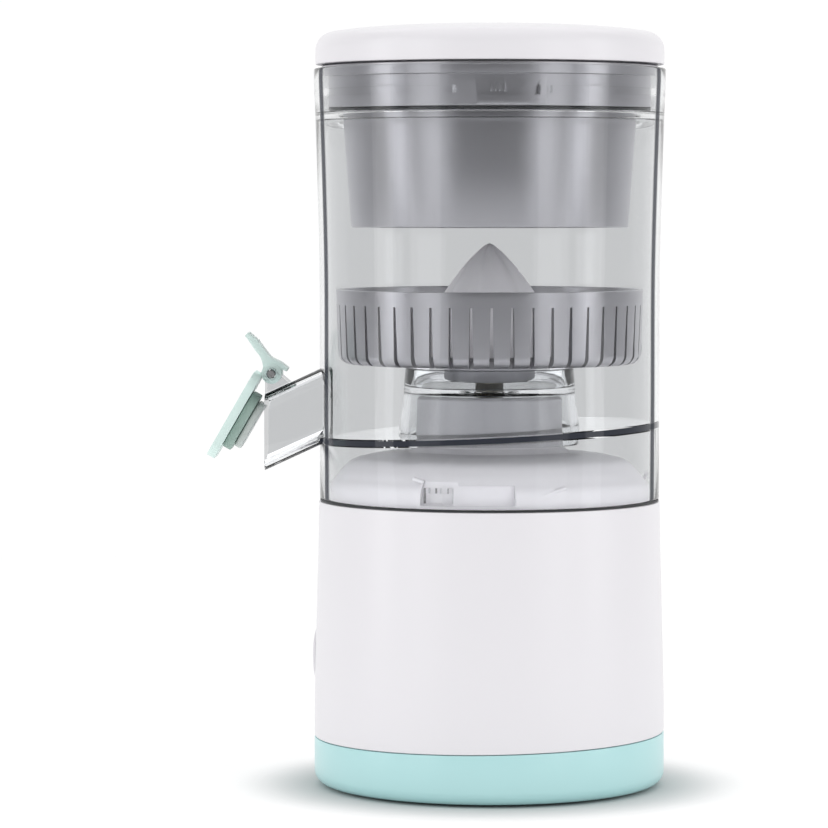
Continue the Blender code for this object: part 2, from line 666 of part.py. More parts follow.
# ------------------------------------------------------------------ jar
def make_jar():
    tall = JAR_TOP - JAR_LOW
    flare = JAR_RIM_R - JAR_R
    straight = JAR_LOW + 0.50 * tall
    swell = JAR_LOW + 0.69 * tall
    neck = JAR_TOP - 4.8
    outer = [(JAR_RIM_R, JAR_TOP), (JAR_RIM_R, neck), (JAR_R + 0.72 * flare, JAR_LOW + 0.877 * tall),
             (JAR_R + 0.28 * flare, swell), (JAR_R, straight), (JAR_R, JAR_LOW)]
    wall_r = JAR_RIM_R - JAR_WALL
    ledge = [(wall_r - 0.7, LEDGE_TOP - LEDGE_H), (LEDGE_R, LEDGE_TOP - LEDGE_H), (LEDGE_R, LEDGE_TOP),
             (wall_r - 0.4, LEDGE_TOP)]
    inner = [(JAR_R - JAR_WALL, JAR_LOW), (JAR_R - JAR_WALL, straight),
             (JAR_R + 0.28 * flare - JAR_WALL, swell), *ledge, (wall_r, neck), (wall_r, JAR_TOP)]
    jar = turned("juice_jar", outer + inner)
    floor = turned("floor", [(JAR_R - 0.6, 0.0), (JAR_R - 0.6, -FLOOR_H), (DAM_FOOT_R - 1.0, -FLOOR_H),
                             (DAM_FOOT_R - 1.0, 0.0)])
    floor.location = (0.0, 0.0, FLOOR_Z * MM)
    floor.rotation_euler = (0.0, -math.radians(FLOOR_TILT), 0.0)
    join(jar, floor)
    hub_floor = COUPLER_LOW + 0.2
    dam = [(DAM_TOP_R, DAM_TOP), (DAM_FOOT_R, 116.0), (DAM_FOOT_R, 112.8), (DAM_FOOT_R - 2.5, 112.8),
           (DAM_FOOT_R - 2.6, 116.0), (DAM_TOP_R - 2.0, hub_floor), (DOG_R + 1.0, hub_floor),
           (DOG_R + 1.0, hub_floor + 1.8), (DAM_TOP_R - DAM_WALL - 0.1, hub_floor + 1.8),
           (DAM_TOP_R - DAM_WALL, DAM_TOP)]
    join(jar, turned("dam", dam))
    join(jar, spout_block("spout_skin", 0.0, JAR_R - 1.0))
    cut(jar, spout_block("spout_channel", SPOUT_WALL, 0.0))
    pivot_x, pivot_z = PIVOT
    ear = [(MOUTH_X, MOUTH_LOW + SPOUT_H - 0.9), (MOUTH_X, pivot_z)]
    ear += arc(PIVOT, EAR_RING_R, 180.0, 20.0, 8)
    ear += [(-65.5, 132.5), (-65.0, MOUTH_LOW + SPOUT_H - 0.9 + SPOUT_SLOPE * (-65.0 - MOUTH_X))]
    for side in (-1.0, 1.0):
        far = side * (EAR_INNER + EAR_W)
        near = side * EAR_INNER
        blank = plate(f"ear_{int(side)}", ear, -max(near, far), -min(near, far))
        blank.data.transform(Matrix.Rotation(math.pi / 2.0, 4, "X"))
        join(jar, blank)
    cut(jar, rod("pin_hole", PIN_R + GAP, -EAR_INNER - EAR_W - 1.0, EAR_INNER + EAR_W + 1.0, PIVOT, "Y"))
    for index in range(3):
        turn = 120.0 * index
        azimuth = TAB_AZIMUTH + turn
        tab = sector(f"tab_{index}", TAB_R, JAR_R - 1.0, azimuth, TAB_HALF, TAB_LOW, TAB_LOW + TAB_H, 2)
        join(jar, tab)
        middle = GATE_AZIMUTH + 60.0 + turn
        ridge = sector(f"ridge_{index}", RIDGE_R, JAR_RIM_R - 1.2, middle, 60.0 - GATE_HALF, RIDGE_LOW,
                       RIDGE_LOW + RIDGE_H, 12)
        join(jar, ridge)
    part(jar, CLEAR, 0.1)
    seal_inner = JAR_R - JAR_WALL + 0.2
    seal = [(JAR_R - 0.2, JAR_LOW - 0.2), (JAR_R - 0.2, BASE_TOP + 0.2), (seal_inner, BASE_TOP + 0.2),
            (seal_inner, JAR_LOW - 0.2)]
    part(turned("jar_seal", seal), DARK, 0.7)


def spout_block(name, inset, clear_r):
    """The spout's sloping block, smaller by inset all round, without what is inside clear_r."""
    reach = -44.0
    start = MOUTH_X - (1.0 if inset else 0.0)
    outline = rounded_rectangle(SPOUT_W - 2.0 * inset, MOUTH_LOW + inset, MOUTH_LOW + SPOUT_H - inset,
                                SPOUT_CORNER - inset)
    block = plate(name, outline, start, reach)
    block.data.transform(Matrix(((0, 0, 1, 0), (1, 0, 0, 0), (0, 1, 0, 0), (0, 0, 0, 1))))
    slope = Matrix.Identity(4)
    slope[2][0] = SPOUT_SLOPE
    slope[2][3] = -SPOUT_SLOPE * MOUTH_X * MM
    block.data.transform(slope)
    if clear_r:
        cut(block, rod(name + "_core", clear_r, 90.0, 170.0, segments=ROUND))
    return block


# ------------------------------------------------------------------ flap
def make_flap():
    pin = rod("spout_pin", PIN_R, -EAR_INNER - EAR_W - 0.6, EAR_INNER + EAR_W + 0.6, PIVOT, "Y")
    part(pin, STEEL, 0.25, 1.0)
    inner = MOUTH_X - GAP - PIVOT[0]
    outer = inner - FLAP_H
    flap = upright_plate("spout_flap", rounded_rectangle(FLAP_W, FLAP_LOW, -2.2, 5.0), outer, inner)
    hub_half = EAR_INNER - GAP
    hub = rod("flap_hub", HUB_R, -hub_half, hub_half, (0.0, 0.0), "Y")
    lever = [(-2.6, -1.8), (-9.0, 1.5), (-14.2, 5.9), (-13.4, 7.4), (-8.0, 5.2), (-1.0, 3.2), (0.6, 3.2),
             (4.4, 2.6), (4.5, 1.2), (2.0, 1.2)]
    tongue = plate("flap_lever", lever, 0.4 - hub_half, hub_half - 0.4)
    tongue.data.transform(Matrix.Rotation(math.pi / 2.0, 4, "X"))
    join(flap, hub)
    join(flap, tongue)
    cut(flap, rod("flap_bore", PIN_R + GAP, -8.0, 8.0, (0.0, 0.0), "Y"))
    width, low, high = GASKET
    gasket = upright_plate("spout_gasket", rounded_rectangle(width, low, high, 5.0), inner + 0.2,
                           inner + 0.2 + GASKET_H)
    width, low, high = PLUG
    start = inner + 0.4 + GASKET_H
    plug = upright_plate("spout_plug", rounded_rectangle(width, low, high, 4.0), start, start + PLUG_H)
    pieces = (flap, hub, tongue, bpy.data.objects["flap_bore"], gasket, plug)
    hinge = Matrix.Translation((PIVOT[0] * MM, 0.0, PIVOT[1] * MM))
    for item in pieces:
        item.matrix_world = hinge @ Matrix.Rotation(math.radians(FLAP_OPEN), 4, "Y")
    part(flap, MINT)
    part(gasket, (0.30, 0.42, 0.38), 0.6)
    part(plug, GREY, 0.5)


def upright_plate(name, outline, start, end):
    """A plate whose outline lies in Y and Z, from x = start to x = end."""
    item = plate(name, outline, start, end)
    item.data.transform(Matrix(((0, 0, 1, 0), (1, 0, 0, 0), (0, 1, 0, 0), (0, 0, 0, 1))))
    return item


# ------------------------------------------------------------------ basket and reamer
def make_basket():
    hub_bore = DOG_R + 0.9
    cavity_top = COUPLER_TOP + 0.7
    foot = BASKET_LOW + BASKET_WALL + 0.2
    top_inner = BASKET_R - BASKET_WALL
    corner = arc((BASKET_FOOT_R - BASKET_CORNER, BASKET_LOW + BASKET_CORNER), BASKET_CORNER, 0.0, -90.0, 3)
    profile = [(0.0, cavity_top + 2.2), (hub_bore + 2.3, cavity_top + 2.2), (hub_bore + 2.3, foot),
               (BASKET_FOOT_R - 3.3, foot), (BASKET_FOOT_R - BASKET_WALL, foot + 1.6),
               (top_inner, BASKET_TOP),
               (BASKET_R, BASKET_TOP), *corner, (HUB_OUTER_R, BASKET_LOW), (HUB_OUTER_R, HUB_LOW),
               (hub_bore, HUB_LOW), (hub_bore, cavity_top), (0.0, cavity_top)]
    basket = turned("filter_basket", profile, SLOTS)
    half = DOG_W / 2.0
    for side in (-1.0, 1.0):
        near, far = sorted((side * (COUPLER_R + 0.8), side * (hub_bore + 0.6)))
        dog = box(f"hub_dog_{int(side)}", (near, -half, HUB_LOW + 0.6), (far, half, cavity_top + 0.6))
        join(basket, dog)
    cut(basket, slot_cutter())
    part(basket, GREY, 0.4)


def slot_cutter():
    """Every slot of the basket's wall as one mesh: wedges that widen downwards."""
    bm = bmesh.new()
    inner = BASKET_FOOT_R - 4.2
    outer = BASKET_R + 2.0
    for index in range(SLOTS):
        made = bmesh.ops.create_cube(bm, size=1.0)["verts"]
        for vert in made:
            width = SLOT_TOP_W if vert.co.z > 0.0 else SLOT_LOW_W
            z = SLOT_TOP if vert.co.z > 0.0 else BASKET_LOW - 1.0
            x = outer if vert.co.x > 0.0 else inner
            vert.co = Vector((x, math.copysign(width / 2.0, vert.co.y), z)) * MM
        turn = Matrix.Rotation(math.tau * (index + 0.5) / SLOTS, 4, "Z")
        bmesh.ops.transform(bm, matrix=turn, verts=made)
    return add_object("slots", mesh_from("slots", bm))


def make_reamer():
    """A ribbed cone: rings whose radius swings with the angle, closed at the tip and the foot."""
    low = BASKET_LOW + BASKET_WALL + 0.2 + GAP
    rings = ((0.0, 1.0), (0.08, 0.97), (0.3, 0.84), (0.55, 0.64), (0.78, 0.38), (0.92, 0.17))
    around = REAMER_RIBS * 6
    bm = bmesh.new()
    loops = []
    for share, size in rings:
        z = low + share * (REAMER_TIP - low)
        loop = []
        for index in range(around):
            angle = math.tau * index / around
            depth = 0.13 * min(1.0, 8.0 * share) * (0.5 - 0.5 * math.cos(REAMER_RIBS * angle))
            radius = REAMER_R * size * (1.0 - depth)
            loop.append(bm.verts.new(Vector((radius * math.cos(angle), radius * math.sin(angle), z)) * MM))
        loops.append(loop)
    tip = bm.verts.new((0.0, 0.0, REAMER_TIP * MM))
    for lower, upper in zip(loops, loops[1:]):
        for index in range(around):
            after = (index + 1) % around
            bm.faces.new((lower[index], lower[after], upper[after], upper[index]))
    for index in range(around):
        bm.faces.new((loops[-1][index], loops[-1][(index + 1) % around], tip))
    bm.faces.new(loops[0][::-1])
    reamer = add_object("reamer_cone", mesh_from("reamer_cone", bm))
    seat_r = DOG_R + 0.9 + 2.3 + GAP
    cut(reamer, rod("reamer_seat", seat_r, low - 1.0, COUPLER_TOP + 2.9 + GAP, segments=48))
    part(reamer, WHITE, 0.4)


# ------------------------------------------------------------------ lid and presser
def make_lid():
    corner_centre = (LID_R - LID_CORNER, LID_TOP - 2.4 - LID_CORNER)
    corner = arc(corner_centre, LID_CORNER, 90.0, 0.0, 4)
    outside = [(0.0, LID_TOP), (28.0, LID_TOP - 0.5), (44.0, LID_TOP - 1.5), *corner, (LID_R, LID_LOW)]
    inner = LID_R - LID_WALL
    small = LID_CORNER - LID_WALL
    inner_corner = arc(corner_centre, small, 0.0, 90.0, 2)
    inside = [(inner, LID_LOW), *inner_corner, (44.0, CEILING - 1.6), (28.0, CEILING - 0.5), (0.0, CEILING)]
    cap = turned("lid_cap", outside + inside)
    guide = STEM_R + GAP
    guide_low = CEILING - GUIDE_H
    ring = [(guide + GUIDE_WALL, CEILING + 1.0), (guide + GUIDE_WALL, guide_low), (guide, guide_low),
            (guide, CEILING + 1.0)]
    join(cap, turned("guide", ring, 24))
    for index in range(3):
        place = at_azimuth(LID_SCREW_RING_R, 60.0 + 120.0 * index)
        join(cap, rod(f"lid_boss_{index}", 3.6, FLANGE_LOW + FLANGE_H + GAP, CEILING - 0.6, place))
        cut(cap, rod(f"lid_boss_hole_{index}", SCREW_R + GAP, FLANGE_LOW, CEILING - 2.4, place, segments=12))
    part(cap, WHITE, 0.15)
    top = FLANGE_LOW + FLANGE_H
    collar_inner = COLLAR_FOOT_R - COLLAR_WALL
    band_low = JAR_TOP - COLLAR_BAND
    profile = [(inner - 0.6, top), (inner - 0.6, LID_LOW - 0.2), (COLLAR_R, LID_LOW - 0.6),
               (COLLAR_R, band_low), (COLLAR_FOOT_R, band_low), (COLLAR_FOOT_R, COLLAR_LOW),
               (collar_inner, COLLAR_LOW), (collar_inner, FLANGE_LOW), (43.0, FLANGE_LOW), (43.0, top)]
    collar = turned("lid_collar", profile)
    for index in range(3):
        azimuth = LUG_AZIMUTH + 120.0 * index
        lug_top = LUG_LOW + LUG_H
        join(collar, sector(f"lug_{index}", COLLAR_FOOT_R - 1.0, LUG_R, azimuth, LUG_HALF, LUG_LOW, lug_top))
        place = at_azimuth(LID_SCREW_RING_R, 60.0 + 120.0 * index)
        below = FLANGE_LOW - 1.0
        cut(collar, rod(f"collar_hole_{index}", SCREW_R + GAP, below, top + 1.0, place, segments=12))
        make_screw(f"lid_screw_{index + 1}", place, FLANGE_LOW - 0.2, CEILING - 3.6)
    part(collar, GREY, 0.35)
    seal = [(COLLAR_FOOT_R, COLLAR_LOW - 0.2), (COLLAR_FOOT_R, LEDGE_TOP + 0.2),
            (LEDGE_R + 0.4, LEDGE_TOP + 0.2), (LEDGE_R + 0.4, COLLAR_LOW - 0.2)]
    part(turned("lid_seal", seal), DARK, 0.7)


def make_presser():
    step = (PRESSER_R - PRESSER_LOW_R) / (PRESSER_TOP - PRESSER_LOW)

    def wall_r(z):
        return PRESSER_LOW_R - PRESSER_WALL + step * (z - PRESSER_LOW)

    profile = [(0.0, DISC_TOP), (wall_r(DISC_TOP), DISC_TOP), (wall_r(PRESSER_TOP), PRESSER_TOP),
               (PRESSER_R, PRESSER_TOP), (PRESSER_LOW_R, PRESSER_LOW), (wall_r(PRESSER_LOW), PRESSER_LOW),
               (wall_r(PRESSER_DISC), PRESSER_DISC), (0.0, PRESSER_DISC)]
    part(turned("presser_cup", profile), GREY, 0.35)
    part(rod("presser_stem", STEM_R, DISC_TOP + GAP, DISC_TOP + GAP + STEM_H), GREY, 0.35)
    low = DISC_TOP + GAP + SPRING_WIRE
    high = CEILING - 0.4 - GAP - SPRING_WIRE
    around = 10
    count = SPRING_TURNS * around
    curve = bpy.data.curves.new("presser_spring", "CURVE")
    curve.dimensions = "3D"
    curve.bevel_depth = SPRING_WIRE * MM
    curve.bevel_resolution = 2
    curve.use_fill_caps = True
    spline = curve.splines.new("POLY")
    spline.points.add(count)
    for index, point in enumerate(spline.points):
        angle = math.tau * index / around
        z = low + (high - low) * index / count
        point.co = (SPRING_R * math.cos(angle) * MM, SPRING_R * math.sin(angle) * MM, z * MM, 1.0)
    spring = curve_to_mesh(add_object("spring_path", curve), "presser_spring")
    part(spring, STEEL, 0.25, 1.0)


def main():
    clear_scene()
    new_collection("citrus_press_juicer")
    new_collection("cutters")
    make_foot_pad()
    make_bottom_cover()
    make_base_shell()
    make_base_dome()
    make_drive()
    make_idler()
    make_motor()
    make_electrics()
    make_button()
    make_jar()
    make_flap()
    make_basket()
    make_reamer()
    make_lid()
    make_presser()


main()
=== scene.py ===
"""Looks of a cordless citrus press juicer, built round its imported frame.

Every length is in metres and +Z is up. Each operator makes one piece or a group of like pieces,
sets its finish and hands it to the body that it moves with.
"""
import math

import bmesh
import bpy
from mathutils import Matrix, Vector


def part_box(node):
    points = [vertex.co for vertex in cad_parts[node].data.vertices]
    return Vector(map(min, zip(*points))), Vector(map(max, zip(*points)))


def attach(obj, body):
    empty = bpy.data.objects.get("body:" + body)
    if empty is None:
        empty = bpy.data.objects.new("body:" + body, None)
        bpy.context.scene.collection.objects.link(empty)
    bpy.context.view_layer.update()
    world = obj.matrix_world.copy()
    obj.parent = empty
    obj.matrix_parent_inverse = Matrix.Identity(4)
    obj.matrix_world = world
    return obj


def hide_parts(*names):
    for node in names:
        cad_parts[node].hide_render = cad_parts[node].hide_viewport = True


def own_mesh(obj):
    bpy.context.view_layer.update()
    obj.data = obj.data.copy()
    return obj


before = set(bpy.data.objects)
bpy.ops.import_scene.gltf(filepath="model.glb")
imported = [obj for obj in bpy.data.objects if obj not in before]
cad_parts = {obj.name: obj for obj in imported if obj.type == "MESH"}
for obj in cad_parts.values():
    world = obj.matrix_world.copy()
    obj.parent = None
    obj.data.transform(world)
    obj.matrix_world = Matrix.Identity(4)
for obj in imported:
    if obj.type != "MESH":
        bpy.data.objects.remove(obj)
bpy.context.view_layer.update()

bl_info = {
    "name": "Citrus press juicer",
    "version": (1, 0, 0),
    "blender": (4, 5, 0),
    "location": "View3D > Sidebar > Juicer",
    "description": "Builds the visible pieces and finishes of a cordless citrus press",
    "category": "Object",
}

MM = 0.001
PER_METRE = 1000.0
GAP = 0.0003                 # clearance between neighbouring pieces
TURN_STEPS = 144             # facets round the large turned pieces
FINE = 1e-6                  # merge distance
RELIEF = 0.0013              # the lid stands this much above the jar's rim
LOCK_AZIMUTH = -17.6         # first of the three gates between base and jar, from the front
SCREW_AZIMUTH = 60.0         # first of the three lid screws
SCREW_CIRCLE = 0.047         # radius of the circle that they stand on
SCREW_HOLE = 0.0017
PIN_BORE = 0.0015


# ------------------------------------------------------------------ sizes and colours
def length(name, text, value):
    return bpy.props.FloatProperty(name=name, description=text, default=value, min=0.0, unit="LENGTH",
                                   precision=5)


def tint(name, text, code):
    return bpy.props.StringProperty(name=name, description=text + " (sRGB hex)", default=code)


class JuicerSizes(bpy.types.PropertyGroup):
    """Sizes that a user would change."""
    base_wall: length("Base wall", "Wall of the white base shell", 0.0022)
    seam_tilt: bpy.props.FloatProperty(name="Seam tilt", description="Slope of the seam over the aqua cover",
                                       default=0.016)
    jar_wall: length("Jar wall", "Wall of the clear jar", 0.0022)
    floor_z: length("Floor height", "Height of the jar's tilted floor at the axis", 0.1175)
    floor_tilt: bpy.props.FloatProperty(name="Floor tilt", description="Tilt of the jar's floor",
                                        default=math.radians(2.75), unit="ROTATION")
    slots: bpy.props.IntProperty(name="Slots", description="Slots round the basket's wall", default=48,
                                 min=12)
    slot_top: length("Slot width, top", "Width of a slot at its upper end", 0.0008)
    slot_low: length("Slot width, foot", "Width of a slot at its lower end", 0.0016)
    ribs: bpy.props.IntProperty(name="Reamer ribs", description="Ribs round the reamer", default=8, min=4)
    flap_open: bpy.props.FloatProperty(name="Flap", description="How far the flap stands open at rest",
                                       default=math.radians(30.0), unit="ROTATION")


class JuicerColours(bpy.types.PropertyGroup):
    """Colours of the moulded pieces."""
    white: tint("White", "Shell and lid", "#EEECF0")
    aqua: tint("Aqua", "Bottom cover and button", "#BDE9EA")
    mint: tint("Mint", "Spout flap", "#E0F5F0")
    mint_dark: tint("Dark mint", "Flap gasket", "#A9C2B8")
    pale: tint("Pale", "Plug on the flap", "#CDD5D2")
    grey: tint("Grey", "Basket, presser and lid collar", "#BCBBC0")
    clear: tint("Clear", "Jar", "#F4F5F6")
    # edge_shade_and_joint: painted shade in a thin line where the clear wall turns away from the eye, and the
    # colour of the dark band where the floor meets the wall
    edge_shade_and_joint: tint("Edge_shade_and_joint", "Tint that gathers at the edges of the clear plastic", "#34373F")
    dark: tint("Dark", "Seals", "#26292C")


# ------------------------------------------------------------------ tools of the script
def sizes():
    return bpy.context.scene.juicer_sizes


def colours():
    return bpy.context.scene.juicer_colours


def add_object(name, mesh):
    item = bpy.data.objects.new(name, mesh)
    bpy.context.scene.collection.objects.link(item)
    return item


def mesh_from(name, bm):
    mesh = bpy.data.meshes.new(name)
    bm.to_mesh(mesh)
    bm.free()
    return mesh


def arc(centre, radius, start, end, count):
    points = []
    for index in range(count + 1):
        angle = math.radians(start + (end - start) * index / count)
        points.append((centre[0] + radius * math.cos(angle), centre[1] + radius * math.sin(angle)))
    return points


def rounded(points, radius, closed, count=4):
    """The outline with each corner replaced by a short arc of at most the radius given."""
    result = []
    total = len(points)
    for index, point in enumerate(points):
        if not closed and index in (0, total - 1):
            result.append(point)
            continue
        here = Vector(point)
        before = Vector(points[index - 1]) - here
        after = Vector(points[(index + 1) % total]) - here
        angle = before.angle(after)
        if angle > math.radians(165.0) or angle < math.radians(2.0):
            result.append(point)
            continue
        reach = min(radius / math.tan(angle / 2.0), 0.45 * before.length, 0.45 * after.length)
        start = here + before.normalized() * reach
        end = here + after.normalized() * reach
        for step in range(count + 1):
            share = step / count
            spot = start.lerp(here, share).lerp(here.lerp(end, share), share)
            result.append((spot.x, spot.y))
    return result


def lathe(name, profile, radius=0.0003, steps=TURN_STEPS, count=3):
    """A turned piece. The profile runs down the outer side; one that starts on the axis is open there."""
    closed = profile[0][0] > 0.0
    points = rounded(profile, radius, closed, count) if radius else list(profile)
    edges = [(index, index + 1) for index in range(len(points) - 1)]
    if closed:
        edges.append((len(points) - 1, 0))
    mesh = bpy.data.meshes.new(name)
    mesh.from_pydata([(r, 0.0, z) for r, z in points], edges, [])
    item = add_object(name, mesh)
    screw = item.modifiers.new("turn", "SCREW")
    screw.axis = "Z"
    screw.angle = math.tau
    screw.steps = steps
    screw.render_steps = steps
    screw.use_merge_vertices = True
    screw.merge_threshold = FINE
    return bake(item)


def bake(item):
    """Turns an object's modifiers into a plain mesh with its place in the mesh."""
    bpy.context.view_layer.update()
    depsgraph = bpy.context.evaluated_depsgraph_get()
    mesh = bpy.data.meshes.new_from_object(item.evaluated_get(depsgraph))
    mesh.transform(item.matrix_world)
    name = item.name
    bpy.data.objects.remove(item)
    bm = bmesh.new()
    bm.from_mesh(mesh)
    bmesh.ops.remove_doubles(bm, verts=bm.verts, dist=FINE)
    bmesh.ops.dissolve_degenerate(bm, edges=bm.edges, dist=FINE)
    bm.to_mesh(mesh)
    bm.free()
    mesh.name = name
    result = add_object(name, mesh)
    result.name = name
    return result


def combine(item, helpers, operation):
    """Cuts or joins helper solids, which are used up by it."""
    for helper in helpers:
        modifier = item.modifiers.new("boolean", "BOOLEAN")
        modifier.operation = operation
        modifier.solver = "EXACT"
        modifier.object = helper
    result = bake(item)
    for helper in helpers:
        bpy.data.objects.remove(helper)
    return result


def cut(item, *helpers):
    return combine(item, helpers, "DIFFERENCE")


def join(item, *helpers):
    return combine(item, helpers, "UNION")


def soften(item, width, segments=2, angle=35.0):
    """Rounds the sharp edges of a piece."""
    bevel = item.modifiers.new("soft edges", "BEVEL")
    bevel.width = width
    bevel.segments = segments
    bevel.limit_method = "ANGLE"
    bevel.angle_limit = math.radians(angle)
    bevel.use_clamp_overlap = True
    return bake(item)


def plate(name, outline, low, high):
    """A flat piece with its outline in X and Y, from low to high along Z."""
    bm = bmesh.new()
    face = bm.faces.new([bm.verts.new((x, y, low)) for x, y in outline])
    made = bmesh.ops.extrude_face_region(bm, geom=[face])["geom"]
    moved = [item for item in made if isinstance(item, bmesh.types.BMVert)]
    bmesh.ops.translate(bm, vec=(0.0, 0.0, high - low), verts=moved)
    bmesh.ops.recalc_face_normals(bm, faces=bm.faces)
    return add_object(name, mesh_from(name, bm))


def rod(name, radius, low, high, place=(0.0, 0.0), turn=None, segments=64):
    bm = bmesh.new()
    bmesh.ops.create_cone(bm, cap_ends=True, segments=segments, radius1=radius, radius2=radius,
                          depth=high - low)
    bmesh.ops.translate(bm, vec=(place[0], place[1], (low + high) / 2.0), verts=bm.verts)
    if turn is not None:
        bmesh.ops.transform(bm, matrix=turn, verts=bm.verts)
    return add_object(name, mesh_from(name, bm))


def box(name, low, high):
    bm = bmesh.new()
    bmesh.ops.create_cube(bm, size=1.0)
    size = [b - a for a, b in zip(low, high)]
    middle = [(a + b) / 2.0 for a, b in zip(low, high)]
    shape = Matrix.Translation(middle) @ Matrix.Diagonal((*size, 1.0))
    bmesh.ops.transform(bm, matrix=shape, verts=bm.verts)
    return add_object(name, mesh_from(name, bm))


def sector(name, inner, outer, azimuth, half, low, high, count=16):
    start, end = azimuth - 90.0 - half, azimuth - 90.0 + half
    outline = arc((0.0, 0.0), outer, start, end, count)
    outline += arc((0.0, 0.0), inner, end, start, count)
    return plate(name, outline, low, high)


def rounded_rectangle(width, low, high, corner, count=8):
    half = width / 2.0 - corner
    outline = arc((half, low + corner), corner, -90.0, 0.0, count)
    outline += arc((half, high - corner), corner, 0.0, 90.0, count)
    outline += arc((-half, high - corner), corner, 90.0, 180.0, count)
    outline += arc((-half, low + corner), corner, 180.0, 270.0, count)
    return outline


UPRIGHT = Matrix(((0, 0, 1, 0), (1, 0, 0, 0), (0, 1, 0, 0), (0, 0, 0, 1)))
SIDEWAYS = Matrix.Rotation(math.pi / 2.0, 4, "X")


def finish_piece(item, material, body, slot, *nodes, angle=32.0):
    """Shades a finished piece, gives it its material and hands it to its body."""
    item.data.materials.clear()
    item.data.materials.append(material)
    item.data.shade_smooth()
    item.data.set_sharp_from_angle(angle=math.radians(angle))
    if nodes:
        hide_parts(*nodes)
    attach(item, body)
    return item


# ------------------------------------------------------------------ materials
def linear(code):
    """An sRGB hex colour as linear RGBA."""
    values = [int(code[index:index + 2], 16) / 255.0 for index in (1, 3, 5)]
    return (*[v / 12.92 if v <= 0.04045 else ((v + 0.055) / 1.055) ** 2.4 for v in values], 1.0)


def darkened(colour, share):
    return (*[value * share for value in colour[:3]], 1.0)


def feed(tree, node, inputs):
    """Gives inputs their plain values, or links them to outputs. A node stands for its active output."""
    for key, value in inputs.items():
        if isinstance(value, bpy.types.Node):
            value = next(output for output in value.outputs if output.enabled)
        if isinstance(value, bpy.types.NodeSocket):
            tree.links.new(value, node.inputs[key])
        else:
            node.inputs[key].default_value = value
    return node


def add_node(tree, kind, inputs=None, **settings):
    """Adds a node with its settings, its values and its links."""
    node = tree.nodes.new(kind)
    for key, value in settings.items():
        setattr(node, key, value)
    return feed(tree, node, inputs or {})


# Inputs of the Mix node, which has its own A and B for each kind of data
FACTOR, LEVEL_A, LEVEL_B, COLOUR_A, COLOUR_B = 0, 2, 3, 6, 7


def new_material(name):
    """A material with its shader and the object's own coordinates for the patterns."""
    material = bpy.data.materials.new(name)
    material.use_nodes = True
    tree = material.node_tree
    place = add_node(tree, "ShaderNodeTexCoord").outputs["Object"]
    return material, tree, tree.nodes["Principled BSDF"], place


def moulded(name, code, roughness, metallic=0.0, grain_mm=0.6, grain=0.012, coat=0.0, spread=0.05,
            shade=0.96):
    """A moulded plastic: fine texture from the tool's surface, and slow drifts of gloss and colour."""
    drift_mm = 35.0
    material, tree, shader, place = new_material(name)
    slow = add_node(tree, "ShaderNodeTexNoise",
                    {"Vector": place, "Scale": PER_METRE / drift_mm, "Detail": 3.0})
    fine = add_node(tree, "ShaderNodeTexNoise",
                    {"Vector": place, "Scale": PER_METRE / grain_mm, "Detail": 2.0})
    rough = add_node(tree, "ShaderNodeMapRange",
                     {"Value": slow, "From Min": 0.3, "From Max": 0.7,
                      "To Min": roughness - spread / 2.0, "To Max": roughness + spread / 2.0})
    base = linear(code)
    colour = add_node(tree, "ShaderNodeMix",
                      {FACTOR: slow, COLOUR_A: darkened(base, shade), COLOUR_B: base}, data_type="RGBA")
    bump = add_node(tree, "ShaderNodeBump", {"Strength": grain, "Distance": 0.0002, "Height": fine})
    feed(tree, shader, {"Roughness": rough, "Base Color": colour, "Normal": bump, "Metallic": metallic,
                        "IOR": 1.5 if metallic else 1.54, "Coat Weight": coat, "Coat Roughness": 0.06})
    return material


def polished_abs_white():
    """Injection-moulded ABS from a fine-polished tool: an even, soft gloss with barely visible drift."""
    return moulded("polished_abs_white", colours().white, 0.33, coat=0.08, shade=0.985)


def satin_abs_white():
    """Injection-moulded ABS from a textured tool: a broad, quiet sheen, on the dome and the reamer."""
    return moulded("satin_abs_white", colours().white, 0.38, grain=0.03, shade=0.97)


def satin_abs_aqua():
    """Coloured ABS, satin-polished: soft broad highlights."""
    return moulded("satin_abs_aqua", colours().aqua, 0.30, coat=0.12, shade=0.97)


def satin_pp_mint():
    """Polypropylene flap: slightly waxy, with a softer shine than ABS."""
    return moulded("satin_pp_mint", colours().mint, 0.36, grain=0.03, shade=0.96)


def satin_pp_pale():
    """Polypropylene plug on the flap: as waxy as the flap, and paler than its gasket."""
    return moulded("satin_pp_pale", colours().pale, 0.38, grain=0.03)


def metallic_abs_grey():
    """ABS with fine aluminium flake, moulded: satin silver-grey that shows upright bands of light."""
    return moulded("metallic_abs_grey", colours().grey, 0.30, metallic=0.8, grain_mm=0.45, grain=0.02,
                   spread=0.04, shade=0.95)


def moulded_silicone(name, code):
    """Moulded silicone rubber: matt, with a light bloom."""
    material = moulded(name, code, 0.62, grain_mm=0.8, grain=0.06, spread=0.12, shade=0.85)
    material.node_tree.nodes["Principled BSDF"].inputs["Sheen Weight"].default_value = 0.15
    return material


